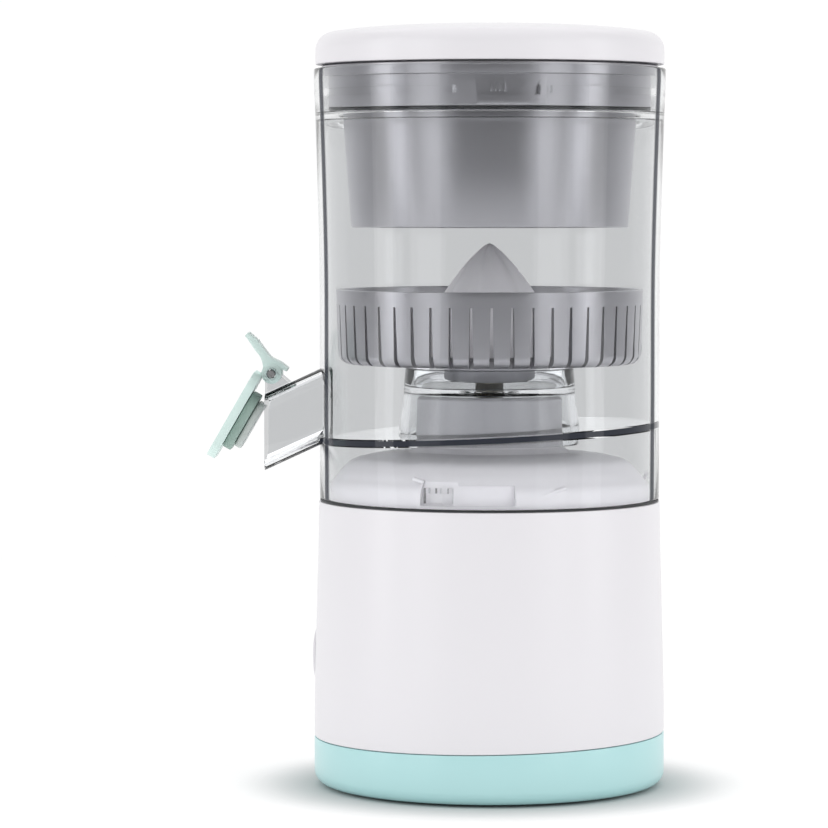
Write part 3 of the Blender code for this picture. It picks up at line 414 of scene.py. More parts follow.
def clear_copolyester():
    """Clear moulded copolyester, lightly smoked.

    The wall carries a narrow dark line of painted shade where it turns away from the eye, and a dark band
    where the floor meets it. Both lie on the outer face alone, so neither is seen twice through the jar.
    """
    outer_face = 0.0555
    wave_mm = 60.0
    material, tree, shader, place = new_material("clear_copolyester")
    wave = add_node(tree, "ShaderNodeTexNoise",
                    {"Vector": place, "Scale": PER_METRE / wave_mm, "Detail": 1.0})
    base, edge_shade_and_joint = linear(colours().clear), linear(colours().edge_shade_and_joint)
    plain = add_node(tree, "ShaderNodeMix",
                     {FACTOR: wave, COLOUR_A: darkened(base, 0.985), COLOUR_B: base}, data_type="RGBA")
    split = add_node(tree, "ShaderNodeSeparateXYZ", {"Vector": place})
    flat = add_node(tree, "ShaderNodeCombineXYZ", {"X": split.outputs["X"], "Y": split.outputs["Y"]})
    radius = add_node(tree, "ShaderNodeVectorMath", {0: flat}, operation="LENGTH")
    outside = add_node(tree, "ShaderNodeMath", {0: radius, 1: outer_face}, operation="GREATER_THAN")
    # Painted shade: a narrow dark line on the outer face where the wall turns away from the eye, found from
    # the facing angle
    facing = add_node(tree, "ShaderNodeLayerWeight", {"Blend": 0.5}).outputs["Facing"]
    rise = add_node(tree, "ShaderNodeMapRange",
                    {"Value": facing, "From Min": 0.66, "From Max": 0.70, "To Max": 1.0},
                    interpolation_type="SMOOTHSTEP")
    fall = add_node(tree, "ShaderNodeMapRange",
                    {"Value": facing, "From Min": 0.75, "From Max": 0.785, "To Min": 1.0, "To Max": 0.0},
                    interpolation_type="SMOOTHSTEP")
    line = add_node(tree, "ShaderNodeMath", {0: rise, 1: fall}, operation="MULTIPLY")
    edge = add_node(tree, "ShaderNodeMath", {0: line, 1: outside}, operation="MULTIPLY")
    joint = floor_joint(tree, split, radius, outside)
    edged = add_node(tree, "ShaderNodeMix", {FACTOR: edge, COLOUR_A: plain, COLOUR_B: edge_shade_and_joint},
                     data_type="RGBA")
    banded = add_node(tree, "ShaderNodeMix", {FACTOR: joint, COLOUR_A: edged, COLOUR_B: edge_shade_and_joint},
                      data_type="RGBA")
    solid = add_node(tree, "ShaderNodeMath", {0: edge, 1: 0.7, 2: joint}, operation="MULTIPLY_ADD")
    passed = add_node(tree, "ShaderNodeMath", {0: 1.0, 1: solid}, operation="SUBTRACT", use_clamp=True)
    # Less reflection on the painted dark line of shade
    gloss = add_node(tree, "ShaderNodeMath", {0: edge, 1: -0.48, 2: 0.5}, operation="MULTIPLY_ADD")
    feed(tree, shader, {"Base Color": banded, "Transmission Weight": passed, "Specular IOR Level": gloss,
                        "Roughness": 0.0, "IOR": 1.3})
    return material


def floor_joint(tree, split, radius, outside):
    """1 on the jar's outer face where the tilted floor meets the wall, 0 elsewhere and on the spout."""
    round_wall = 0.0563
    band_z = sizes().floor_z - 0.0012
    slope = math.tan(sizes().floor_tilt)
    rise = add_node(tree, "ShaderNodeMath", {0: split.outputs["X"], 1: slope}, operation="MULTIPLY")
    level = add_node(tree, "ShaderNodeMath", {0: split.outputs["Z"], 1: rise}, operation="SUBTRACT")
    band = add_node(tree, "ShaderNodeMath", {0: level, 1: band_z, 2: 0.0009}, operation="COMPARE")
    near = add_node(tree, "ShaderNodeMath", {0: radius, 1: round_wall}, operation="LESS_THAN")
    ring = add_node(tree, "ShaderNodeMath", {0: outside, 1: near}, operation="MULTIPLY")
    return add_node(tree, "ShaderNodeMath", {0: band, 1: ring}, operation="MULTIPLY")


def metal(name, code, roughness, grain_mm, stretch):
    """A machined or drawn metal: fine marks stretched along the way it was worked."""
    material, tree, shader, place = new_material(name)
    mapping = add_node(tree, "ShaderNodeMapping", {"Vector": place, "Scale": stretch})
    marks = add_node(tree, "ShaderNodeTexNoise",
                     {"Vector": mapping, "Scale": PER_METRE / grain_mm, "Detail": 3.0})
    rough = add_node(tree, "ShaderNodeMapRange",
                     {"Value": marks, "To Min": roughness - 0.08, "To Max": roughness + 0.12})
    base = linear(code)
    colour = add_node(tree, "ShaderNodeMix",
                      {FACTOR: marks, COLOUR_A: darkened(base, 0.82), COLOUR_B: base}, data_type="RGBA")
    bump = add_node(tree, "ShaderNodeBump", {"Strength": 0.08, "Distance": 0.0001, "Height": marks})
    feed(tree, shader, {"Roughness": rough, "Base Color": colour, "Normal": bump, "Metallic": 1.0})
    return material


def floor_glow_painted_shadow():
    """Pale matt floor that glows to stay white, with a painted contact shadow: the glow fades to nothing
    towards the object's foot.
    """
    foot_edge, painted_shadow_end = 0.057, 0.088
    material = moulded("floor_glow_painted_shadow", "#DDDDDD", 0.9, grain_mm=2.0, grain=0.01, shade=0.995)
    tree = material.node_tree
    place = add_node(tree, "ShaderNodeTexCoord").outputs["Object"]
    radius = add_node(tree, "ShaderNodeVectorMath", {0: place}, operation="LENGTH")
    # Painted contact shadow: the glow fades out near the object's foot
    glow_with_painted_shadow = add_node(tree, "ShaderNodeMapRange",
                    {"Value": radius, "From Min": foot_edge, "From Max": painted_shadow_end, "To Max": 0.40},
                    interpolation_type="SMOOTHSTEP")
    feed(tree, tree.nodes["Principled BSDF"],
         {"Emission Strength": glow_with_painted_shadow, "Emission Color": (1.0, 1.0, 1.0, 1.0), "Specular IOR Level": 0.0})
    return material


# ------------------------------------------------------------------ stage
class JUICER_OT_stage(bpy.types.Operator):
    """Sets the pale floor, the soft studio light and the camera"""
    bl_idname = "juicer.stage"
    bl_label = "Stage"

    def execute(self, context):
        scene = context.scene
        scene.view_settings.view_transform = "Standard"
        bm = bmesh.new()
        bmesh.ops.create_circle(bm, cap_ends=True, segments=96, radius=0.85)
        floor = add_object("floor", mesh_from("floor", bm))
        floor.data.materials.append(floor_glow_painted_shadow())
        self.light_world(scene)
        self.area("left_strip", (-1.35, -0.38, 0.40), (0.40, 1.5), 3.4)
        self.area("right_strip", (1.35, -0.38, 0.40), (0.40, 1.5), 3.2)
        self.area("left_fill", (-0.95, -1.02, 0.40), (0.55, 1.5), 2.9)
        self.area("right_fill", (0.95, -1.02, 0.40), (0.55, 1.5), 2.9)
        self.area("top_softbox", (0.0, 0.3, 1.9), (2.4, 2.4), 14.8)
        self.camera(scene)
        return {"FINISHED"}

    def light_world(self, scene):
        """A white backdrop behind and a darker room in front, with a level for each kind of light path."""
        world = bpy.data.worlds.new("studio")
        world.use_nodes = True
        tree = world.node_tree
        path = add_node(tree, "ShaderNodeLightPath")
        bounced = []
        for depth in ("Transmission Depth", "Diffuse Depth", "Glossy Depth"):
            bounced.append(add_node(tree, "ShaderNodeMath", {0: path.outputs[depth], 1: 1.0},
                                    operation="MINIMUM"))
        through, scattered, mirrored = bounced
        seen = add_node(tree, "ShaderNodeMix", {FACTOR: through, LEVEL_A: 1.02, LEVEL_B: 0.72})
        lit = add_node(tree, "ShaderNodeMix", {FACTOR: through, LEVEL_A: 0.52, LEVEL_B: 1.50})
        level = add_node(tree, "ShaderNodeMix", {FACTOR: scattered, LEVEL_A: seen, LEVEL_B: lit})
        place = add_node(tree, "ShaderNodeTexCoord").outputs["Generated"]
        depth = add_node(tree, "ShaderNodeSeparateXYZ", {"Vector": place}).outputs["Y"]
        front = add_node(tree, "ShaderNodeMapRange",
                         {"Value": depth, "From Min": -0.95, "From Max": -0.3, "To Min": 0.14,
                          "To Max": 0.38}, interpolation_type="SMOOTHSTEP")
        back = add_node(tree, "ShaderNodeMapRange",
                        {"Value": depth, "From Min": 0.15, "From Max": 1.0, "To Min": 0.0,
                         "To Max": 0.65}, interpolation_type="SMOOTHSTEP")
        mirror = add_node(tree, "ShaderNodeMath", {0: front, 1: back}, operation="ADD")
        level = add_node(tree, "ShaderNodeMix", {FACTOR: mirrored, LEVEL_A: level, LEVEL_B: mirror})
        feed(tree, tree.nodes["Background"], {"Color": (1.0, 1.0, 1.0, 1.0), "Strength": level})
        scene.world = world

    def area(self, name, place, size, power):
        data = bpy.data.lights.new(name, "AREA")
        data.shape = "RECTANGLE"
        data.size, data.size_y = size
        data.energy = power
        light = bpy.data.objects.new(name, data)
        light.location = place
        aim = Vector((0.0, 0.0, 0.13)) - Vector(place)
        light.rotation_euler = aim.to_track_quat("-Z", "Y").to_euler()
        bpy.context.scene.collection.objects.link(light)

    def camera(self, scene):
        data = bpy.data.cameras.new("camera")
        data.lens = 171.7
        data.sensor_width = 36.0
        data.clip_end = 20.0
        camera = bpy.data.objects.new("camera", data)
        camera.location = (0.0, -1.295, 0.192)
        camera.rotation_euler = (math.radians(90.0 - 3.10), 0.0, math.radians(1.095))
        scene.collection.objects.link(camera)
        scene.camera = camera


# ------------------------------------------------------------------ shapes that several pieces share
def mm(points):
    return [(r * MM, z * MM) for r, z in points]


def smooth_line(points, count=6):
    """A smooth line through the points, by cubic steps between them."""
    result = []
    last = len(points) - 1
    for index in range(last):
        p0 = Vector(points[max(index - 1, 0)])
        p1 = Vector(points[index])
        p2 = Vector(points[index + 1])
        p3 = Vector(points[min(index + 2, last)])
        for step in range(count):
            t = step / count
            spot = 0.5 * (2.0 * p1 + (p2 - p0) * t + (2.0 * p0 - 5.0 * p1 + 4.0 * p2 - p3) * t * t
                          + (3.0 * p1 - p0 - 3.0 * p2 + p3) * t ** 3)
            result.append((spot.x, spot.y))
    result.append(tuple(points[last]))
    return result


def offset_in(points, wall):
    return [(r - wall, z) for r, z in reversed(points)]


def around(radius, azimuth):
    angle = math.radians(azimuth)
    return radius * math.sin(angle), -radius * math.cos(angle)


def thirds(first):
    """Numbers and azimuths of three places, 120 degrees apart."""
    return [(index, first + 120.0 * index) for index in range(3)]


def span(node):
    """How tall a node is."""
    low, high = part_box(node)
    return high.z - low.z


def tilt_rim(item, low, high, slope):
    """Shears the ring of a shell between two heights, so that its seam slopes along X."""
    for vert in item.data.vertices:
        if low <= vert.co.z <= high:
            vert.co.z += slope * vert.co.x
    return item


def top_of(node):
    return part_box(node)[1].z


def low_of(node):
    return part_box(node)[0].z


BUTTON_TURN = math.radians(172.0)
BUTTON_AXIS = Matrix.Rotation(BUTTON_TURN, 4, "Z") @ Matrix.Rotation(math.pi / 2.0, 4, "Y")


def pin_centre():
    """X and Z of the flap's pin."""
    low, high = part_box("spout_pin")
    return (low.x + high.x) / 2.0, (low.z + high.z) / 2.0


def button_place():
    low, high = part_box("button_bezel")
    return Matrix.Translation((0.0, 0.0, (low.z + high.z) / 2.0)) @ BUTTON_AXIS


# ------------------------------------------------------------------ base
class JUICER_OT_base(bpy.types.Operator):
    """Makes the white shell, the aqua cover, the foot pad and the dome under the jar"""
    bl_idname = "juicer.base"
    bl_label = "Base"

    def execute(self, context):
        self.shell()
        self.cover()
        self.pad()
        self.dome()
        return {"FINISHED"}

    def shell(self):
        low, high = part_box("base_shell")
        foot, top, wide = low.z, high.z, high.y
        outer = smooth_line([(wide - 0.0016, top), (wide - 0.0013, top - 0.016), (wide - 0.0006, 0.052),
                             (wide - 0.00005, 0.030), (wide, foot)])
        shell = lathe("white_shell", outer + offset_in(outer, sizes().base_wall), 0.0005)
        tilt_rim(shell, foot - 0.001, foot + 0.0008, sizes().seam_tilt)
        hole = rod("hole", span("button_bezel") / 2.0 + GAP, 0.045, 0.065, segments=96)
        hole.data.transform(button_place())
        socket_low, socket_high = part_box("charge_socket")
        port_width = socket_high.x - socket_low.x + 2.0 * GAP
        port = plate("port", rounded_rectangle(port_width, -0.0020, 0.0020, 0.0015), -0.066, -0.045)
        port_z = (socket_low.z + socket_high.z) / 2.0
        port.data.transform(Matrix.Translation((0.0, 0.0, port_z)) @ SIDEWAYS)
        shell = soften(cut(shell, hole, port), 0.00025)
        finish_piece(shell, polished_abs_white(), "base", "shell_white", "base_shell")

    def cover(self):
        low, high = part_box("base_shell")
        foot = low_of("bottom_cover")
        wide = high.y
        seam = low.z - 0.0002
        inner = wide - sizes().base_wall
        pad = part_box("foot_pad")[1]
        rounding, thick = 0.0042, 0.0022
        corner = arc((wide - rounding, foot + rounding), rounding, 0.0, -90.0, 12)
        pocket = (pad.x + GAP, pad.z + GAP)
        profile = [(wide, seam), *corner, (pocket[0], foot), pocket, (0.0, pocket[1])]
        floor = pocket[1] + thick
        inside = [(0.0, floor), (inner - 0.004, floor), (inner - 0.001, floor + 0.0014),
                  (inner, floor + 0.0045), (inner, seam)]
        cover = lathe("aqua_cover", inside + profile, 0.0003)
        tilt_rim(cover, seam - 0.0008, seam + 0.001, sizes().seam_tilt)
        finish_piece(cover, satin_abs_aqua(), "base", "aqua_plastic", "bottom_cover")

    def pad(self):
        low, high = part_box("foot_pad")
        edge, foot = high.x, low.z
        rings = [(0.0, high.z), (edge - 0.0004, high.z), (edge, high.z - 0.0004), (edge, foot + 0.0004),
                 (edge - 0.0004, foot)]
        for radius in (0.044, 0.040, 0.036):
            rings += [(radius + 0.0010, foot), (radius + 0.0007, foot + 0.0005),
                      (radius - 0.0007, foot + 0.0005), (radius - 0.0010, foot)]
        rings.append((0.0, foot))
        pad = lathe("grip_pad", rings, 0.0)
        rubber = moulded_silicone("moulded_foot_rubber", "#2B2D2F")
        finish_piece(pad, rubber, "base", "pad_rubber", "foot_pad")

    def dome(self):
        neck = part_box("base_dome")[1].x
        foot = low_of("base_dome")
        top = top_of("base_dome")
        tower = 0.0226
        bore = 0.0063
        shoulder = smooth_line(mm([(36.0, 110.2), (44.0, 108.6), (48.0, 105.6), (50.6, 102.6), (52.5, 99.8),
                                   (53.2, 95.0)]), 5)
        outer = [(bore, top), (tower, top), (tower + 0.001, top - 0.0012), (tower + 0.0016, 0.1122),
                 (tower + 0.004, 0.1106), *shoulder, (neck, foot)]
        inner = mm([(48.0, 86.0), (48.0, 98.0), (46.0, 102.0), (42.6, 105.6), (36.0, 107.8), (24.4, 108.2),
                    (21.8, 110.2), (21.2, 126.2), (8.7, 126.2), (8.7, 119.4), (6.3, 119.4)])
        dome = lathe("white_dome", outer + inner, 0.0006)
        cuts = []
        ramps = []
        for index, azimuth in thirds(LOCK_AZIMUTH):
            cuts.append(sector(f"gate_{index}", 0.0503, 0.060, azimuth, 6.5, 0.0955, 0.1120))
            cuts.append(sector(f"channel_{index}", 0.0502, 0.0605, azimuth + 13.7, 12.8, 0.0956, 0.1020))
        dome = cut(dome, *cuts)
        for index, azimuth in thirds(LOCK_AZIMUTH):
            ramps.append(self.ramp(f"ramp_{index}_32", azimuth, 32.0, 1.6, 0.0975, 0.0035))
            ramps.append(self.ramp(f"ramp_{index}_-9", azimuth, -9.5, 0.5, 0.1040, -0.0012))
        dome = soften(join(dome, *ramps), 0.0002)
        finish_piece(dome, satin_abs_white(), "base", "dome_white", "base_dome")

    def ramp(self, name, azimuth, start, step, height, rise):
        """A short raised line that climbs round the neck beside a gate."""
        radius, steps = 0.0521, 8
        path = []
        for index in range(steps + 1):
            angle = math.radians(azimuth - 90.0) + math.radians(start + index * step)
            path.append((radius * math.cos(angle), radius * math.sin(angle), height + rise * index / steps))
        return wire(name, path, 0.0007)


def wire(name, path, radius, resolution=4):
    """A round bar along a path, with closed ends."""
    curve = bpy.data.curves.new(name, "CURVE")
    curve.dimensions = "3D"
    curve.bevel_depth = radius
    curve.bevel_resolution = resolution
    curve.use_fill_caps = True
    spline = curve.splines.new("POLY")
    spline.points.add(len(path) - 1)
    for point, spot in zip(spline.points, path):
        point.co = (*spot, 1.0)
    return bake(add_object(name, curve))


# ------------------------------------------------------------------ button
class JUICER_OT_button(bpy.types.Operator):
    """Makes the power button and the ring round it"""
    bl_idname = "juicer.button"
    bl_label = "Button"

    def execute(self, context):
        face, front, back = 0.0581, 0.0576, 0.0516
        radius = 0.0075
        dish = smooth_line([(0.0, face), (0.003, face - 0.00012), (0.0058, face - 0.0006),
                            (radius - 0.0004, face - 0.0014)])
        stem = [(radius, face - 0.0020), (radius, face - 0.0046), (0.003, face - 0.0046),
                (0.003, face - 0.008), (0.0, face - 0.008)]
        cap = lathe("button_cap", dish + stem, 0.0002, 72)
        wide = span("button_bezel") / 2.0
        inner = radius + GAP
        ring = [(inner + 0.0003, front), (wide - 0.0004, front - 0.0002), (wide, front - 0.0006),
                (wide, back), (inner, back), (inner, front - 0.0004)]
        bezel = lathe("button_ring", ring, 0.0002, 72)
        for item in (cap, bezel):
            item.data.transform(button_place())
        finish_piece(cap, satin_abs_aqua(), "button", "aqua_plastic", "power_button")
        finish_piece(bezel, polished_abs_white(), "base", "shell_white", "button_bezel")
        return {"FINISHED"}


# ------------------------------------------------------------------ jar
class JUICER_OT_jar(bpy.types.Operator):
    """Makes the clear jar with its tilted floor, dam, spout, locking ridges and the two seals"""
    bl_idname = "juicer.jar"
    bl_label = "Jar"

    def execute(self, context):
        self.jar()
        seals = (("jar_ring_seal", "jar_seal", "jar_ring", 0.0537),
                 ("lid_ring_seal", "lid_seal", "lid_ring", 0.0499))
        for name, node, body, inner in seals:
            low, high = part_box(node)
            seal = lathe(name, [(high.y, high.z), (high.y, low.z), (inner, low.z), (inner, high.z)], 0.00015)
            rubber = moulded_silicone(name + "_silicone", colours().dark)
            finish_piece(seal, rubber, body, "silicone", node)
        return {"FINISHED"}

    def jar(self):
        foot = low_of("juice_jar")
        top = top_of("juice_jar")
        wall = sizes().jar_wall
        side = smooth_line(mm([(57.5, 231.0), (57.0, 217.5), (56.2, 191.0), (55.7, 165.0), (55.7, 130.0)]), 6)
        outer = [(0.0575, top), *side, (0.0557, foot)]
        inner = [(0.0557 - wall, foot), (0.0557 - wall, 0.165), (0.0540, 0.191), (0.0546, 0.2182),
                 (0.0495, 0.2182), (0.0495, 0.2202), (0.0549, 0.2202), (0.0575 - wall, 0.230),
                 (0.0575 - wall, top)]
        jar = lathe("clear_jar", outer + inner, 0.0005)
        floor = lathe("floor", [(0.0551, 0.0), (0.0551, -0.0026), (0.0285, -0.0026), (0.0285, 0.0)], 0.0)
        floor.data.transform(Matrix.Translation((0.0, 0.0, sizes().floor_z))
                             @ Matrix.Rotation(-sizes().floor_tilt, 4, "Y"))
        dam = lathe("dam", mm([(27.5, 137.2), (28.4, 126.0), (29.5, 116.0), (29.5, 112.8), (27.0, 112.8),
                               (26.9, 116.0), (25.5, 128.9), (8.0, 128.9), (8.0, 130.7), (25.4, 130.7),
                               (25.5, 137.2)]), 0.0006)
        skin = self.spout_block("skin", 0.0)
        skin = cut(skin, rod("core", 0.0547, 0.09, 0.17, segments=TURN_STEPS))
        jar = join(jar, floor, dam, skin, *self.ears(), *self.locks())
        bore = rod("pin_bore", PIN_BORE, -0.010, 0.010, segments=32)
        x, z = pin_centre()
        bore.data.transform(Matrix.Translation((x, 0.0, z)) @ SIDEWAYS)
        jar = cut(jar, self.spout_block("channel", 0.0018), bore)
        finish_piece(jar, clear_copolyester(), "jar", "clear_plastic", "juice_jar", angle=40.0)

    def spout_block(self, name, inset):
        """The outside of the spout, or its channel when it is made smaller by the inset."""
        mouth_x, mouth_low, height, width, corner = -0.0733, 0.1038, 0.0249, 0.026, 0.006
        fall = 0.46
        start = mouth_x - (0.001 if inset else 0.0)
        outline = rounded_rectangle(width - 2.0 * inset, mouth_low + inset, mouth_low + height - inset,
                                    corner - inset, 10)
        block = plate(name, outline, start, -0.044)
        slope = Matrix.Identity(4)
        slope[2][0] = fall
        slope[2][3] = -fall * mouth_x
        block.data.transform(slope @ UPRIGHT)
        return block

    def ears(self):
        pin = pin_centre()
        ear = [(-0.0733, 0.1278), (-0.0733, pin[1]), *arc(pin, 0.0020, 180.0, 20.0, 16),
               (-0.0655, 0.1325), (-0.0650, 0.1316)]
        pair = []
        for side, near, far in (("a", 0.006, 0.008), ("b", -0.008, -0.006)):
            blank = plate(f"ear_{side}", ear, near, far)
            blank.data.transform(SIDEWAYS)
            pair.append(blank)
        return pair

    def locks(self):
        """Three tabs inside the foot, each under three short posts, and three ridges round the rim."""
        skin = 0.0547
        made = []
        for index, turn in thirds(0.0):
            made.append(sector(f"tab_{index}", 0.0509, skin, LOCK_AZIMUTH + turn, 5.0, 0.0963, 0.0995, 6))
            for side in (-4.2, 0.0, 4.2):
                azimuth = side + LOCK_AZIMUTH + turn
                name = f"post_{index}_{int(side)}"
                made.append(sector(name, 0.0511, skin, azimuth, 0.8, 0.0993, 0.1012, 2))
            made.append(sector(f"ridge_{index}", 0.0531, 0.0563, 64.3 + turn, 43.6, 0.2257, 0.2280, 40))
        return made


# ------------------------------------------------------------------ flap
class JUICER_OT_flap(bpy.types.Operator):
    """Makes the spout's flap with its lever, gasket and plug"""
    bl_idname = "juicer.flap"
    bl_label = "Flap"

    def execute(self, context):
        x, z = pin_centre()
        place = Matrix.Translation((x, 0.0, z)) @ Matrix.Rotation(sizes().flap_open, 4, "Y")
        hub_half = 0.0057
        leaf = self.leaf("mint_flap", 0.025, -0.0333, -0.0022, 0.005, -0.0051, -0.0023)
        hub = rod("hub", 0.0033, -hub_half, hub_half, segments=48)
        hub.data.transform(SIDEWAYS)
        open_turn = Matrix.Rotation(sizes().flap_open, 2)
        under = smooth_line(mm([(-4.2, -1.0), (-2.8, 2.0), (-3.6, 5.3), (-5.5, 7.9), (-7.6, 11.0),
                                (-8.7, 12.4)]), 6)
        over = smooth_line(mm([(-7.7, 13.4), (-4.8, 10.9), (-2.5, 8.0), (-0.2, 5.2), (2.8, 3.7),
                               (5.4, 1.7)]), 6)
        claw = smooth_line(mm([(4.9, 0.7), (3.2, 1.4), (1.8, 1.0), (0.0, -1.5)]), 4)
        outline = [tuple(open_turn @ Vector(spot)) for spot in under + over + claw]
        lever = plate("lever", outline, -hub_half + 0.0004, hub_half - 0.0004)
        lever.data.transform(SIDEWAYS)
        grips = []
        first, last = open_turn @ Vector((-0.0074, 0.0131)), open_turn @ Vector((-0.0046, 0.0107))
        for index in range(4):
            grip = rod(f"grip_{index}", 0.0003, -hub_half + 0.0012, hub_half - 0.0012, segments=16)
            x, z = first.lerp(last, index / 3.0)
            grip.data.transform(Matrix.Translation((x, 0.0, z)) @ SIDEWAYS)
            grips.append(grip)
        flap = join(leaf, hub, lever)
        bore = rod("bore", PIN_BORE, -0.008, 0.008, segments=32)
        bore.data.transform(SIDEWAYS)
        flap = join(soften(cut(flap, bore), 0.0003), *grips)
        gasket = self.leaf("flap_gasket", 0.020, -0.0285, -0.0083, 0.005, -0.0021, 0.0009)
        plug = self.leaf("flap_plug", 0.017, -0.0265, -0.0100, 0.004, 0.0011, 0.0035)
        gasket = soften(gasket, 0.0005, 3)
        plug = soften(plug, 0.0006, 3)
        for item in (flap, gasket, plug):
            item.data.transform(place)
        rubber = moulded_silicone("flap_silicone", colours().mint_dark)
        finish_piece(flap, satin_pp_mint(), "flap", "mint_plastic", "spout_flap")
        finish_piece(gasket, rubber, "flap", "flap_silicone", "spout_gasket")
        finish_piece(plug, satin_pp_pale(), "flap", "grey_plastic", "spout_plug")
        return {"FINISHED"}

    def leaf(self, name, width, low, high, corner, start, end):
        """An upright plate with round corners, in the pin's own frame."""
        item = plate(name, rounded_rectangle(width, low, high, corner, 12), start, end)
        item.data.transform(UPRIGHT)
        return item


# ------------------------------------------------------------------ geometry node trees
def new_tree(name, **inputs):
    """An empty geometry tree with the inputs given; returns it with their socket identifiers."""
    tree = bpy.data.node_groups.new(name, "GeometryNodeTree")
    names = {}
    for label, kind in inputs.items():
        socket = tree.interface.new_socket(label, in_out="INPUT", socket_type="NodeSocket" + kind)
        names[label] = socket.identifier
    tree.interface.new_socket("Geometry", in_out="OUTPUT", socket_type="NodeSocketGeometry")
    return tree, names, add_node(tree, "NodeGroupInput").outputs


def end_tree(tree, given, geometry):
    """Makes copies real, sets their finish and ends the tree."""
    made = add_node(tree, "GeometryNodeRealizeInstances", {"Geometry": geometry})
    paint = add_node(tree, "GeometryNodeSetMaterial", {"Geometry": made, "Material": given["Material"]})
    add_node(tree, "NodeGroupOutput", {0: paint})


def slot_tree():
    """Cuts a ring of upright slots, wider at the foot than at the top, out of a turned wall."""
    tree, names, given = new_tree("slotted_wall", Geometry="Geometry", Count="Int", Radius="Float",
                                  Depth="Float", Foot="Float", Height="Float", Top_Width="Float",
                                  Foot_Width="Float", Material="Material")
    size = add_node(tree, "ShaderNodeCombineXYZ",
                    {"X": given["Depth"], "Y": given["Top_Width"], "Z": given["Height"]})
    block = add_node(tree, "GeometryNodeMeshCube", {"Size": size})
    position = add_node(tree, "GeometryNodeInputPosition")
    spot = add_node(tree, "ShaderNodeSeparateXYZ", {0: position}).outputs
    level = add_node(tree, "ShaderNodeMath", {0: spot["Z"], 1: given["Height"]}, operation="DIVIDE")
    share = add_node(tree, "ShaderNodeMath", {0: 0.5, 1: level}, operation="SUBTRACT")
    ratio = add_node(tree, "ShaderNodeMath", {0: given["Foot_Width"], 1: given["Top_Width"]},
                     operation="DIVIDE")
    excess = add_node(tree, "ShaderNodeMath", {0: ratio, 1: 1.0}, operation="SUBTRACT")
    grown = add_node(tree, "ShaderNodeMath", {0: excess, 1: share}, operation="MULTIPLY")
    factor = add_node(tree, "ShaderNodeMath", {0: grown, 1: 1.0}, operation="ADD")
    wide = add_node(tree, "ShaderNodeMath", {0: spot["Y"], 1: factor}, operation="MULTIPLY")
    moved = add_node(tree, "ShaderNodeCombineXYZ", {"X": spot["X"], "Y": wide, "Z": spot["Z"]})
    taper = add_node(tree, "GeometryNodeSetPosition", {"Geometry": block, "Position": moved})
    ring = add_node(tree, "GeometryNodeMeshCircle", {"Vertices": given["Count"], "Radius": given["Radius"]})
    pitch = add_node(tree, "ShaderNodeMath", {0: math.tau, 1: given["Count"]}, operation="DIVIDE")
    copies = turned_copies(tree, ring, taper, pitch)
    half = add_node(tree, "ShaderNodeMath", {0: given["Height"], 1: 0.5}, operation="MULTIPLY")
    middle = add_node(tree, "ShaderNodeMath", {0: given["Foot"], 1: half}, operation="ADD")
    height = add_node(tree, "ShaderNodeCombineXYZ", {"Z": middle})
    phase = add_node(tree, "ShaderNodeMath", {0: pitch, 1: 0.11}, operation="MULTIPLY")
    turn = add_node(tree, "ShaderNodeCombineXYZ", {"Z": phase})
    cutters = add_node(tree, "GeometryNodeRealizeInstances", {"Geometry": copies})
    placed = add_node(tree, "GeometryNodeTransform",
                      {"Geometry": cutters, "Translation": height, "Rotation": turn})
    carved = add_node(tree, "GeometryNodeMeshBoolean", {"Mesh 1": given["Geometry"], "Mesh 2": placed},
                      operation="DIFFERENCE", solver="EXACT")
    end_tree(tree, given, carved)
    return tree, names


def turned_copies(tree, points, shape, pitch):
    """Copies of a shape on points, each turned by one pitch more than the last."""
    index = add_node(tree, "GeometryNodeInputIndex")
    azimuth = add_node(tree, "ShaderNodeMath", {0: pitch, 1: index}, operation="MULTIPLY")
    turn = add_node(tree, "ShaderNodeCombineXYZ", {"Z": azimuth})
    return add_node(tree, "GeometryNodeInstanceOnPoints",
                    {"Points": points, "Instance": shape, "Rotation": turn})


def ring_tree():
    """Stands copies of a bar in a ring, each turned to face outwards, and sets their finish."""
    tree, names, given = new_tree("ring_of_copies", Geometry="Geometry", Count="Int", Material="Material")
    pitch = add_node(tree, "ShaderNodeMath", {0: math.tau, 1: given["Count"]}, operation="DIVIDE")
    points = add_node(tree, "GeometryNodePoints", {"Count": given["Count"]})
    end_tree(tree, given, turned_copies(tree, points, given["Geometry"], pitch))
    return tree, names


def run_tree(item, tree, names, values):
    """Runs a tree on an object and keeps the result as its plain mesh."""
    modifier = item.modifiers.new("tree", "NODES")
    modifier.node_group = tree
    for label, value in values.items():
        modifier[names[label]] = value
    return bake(item)


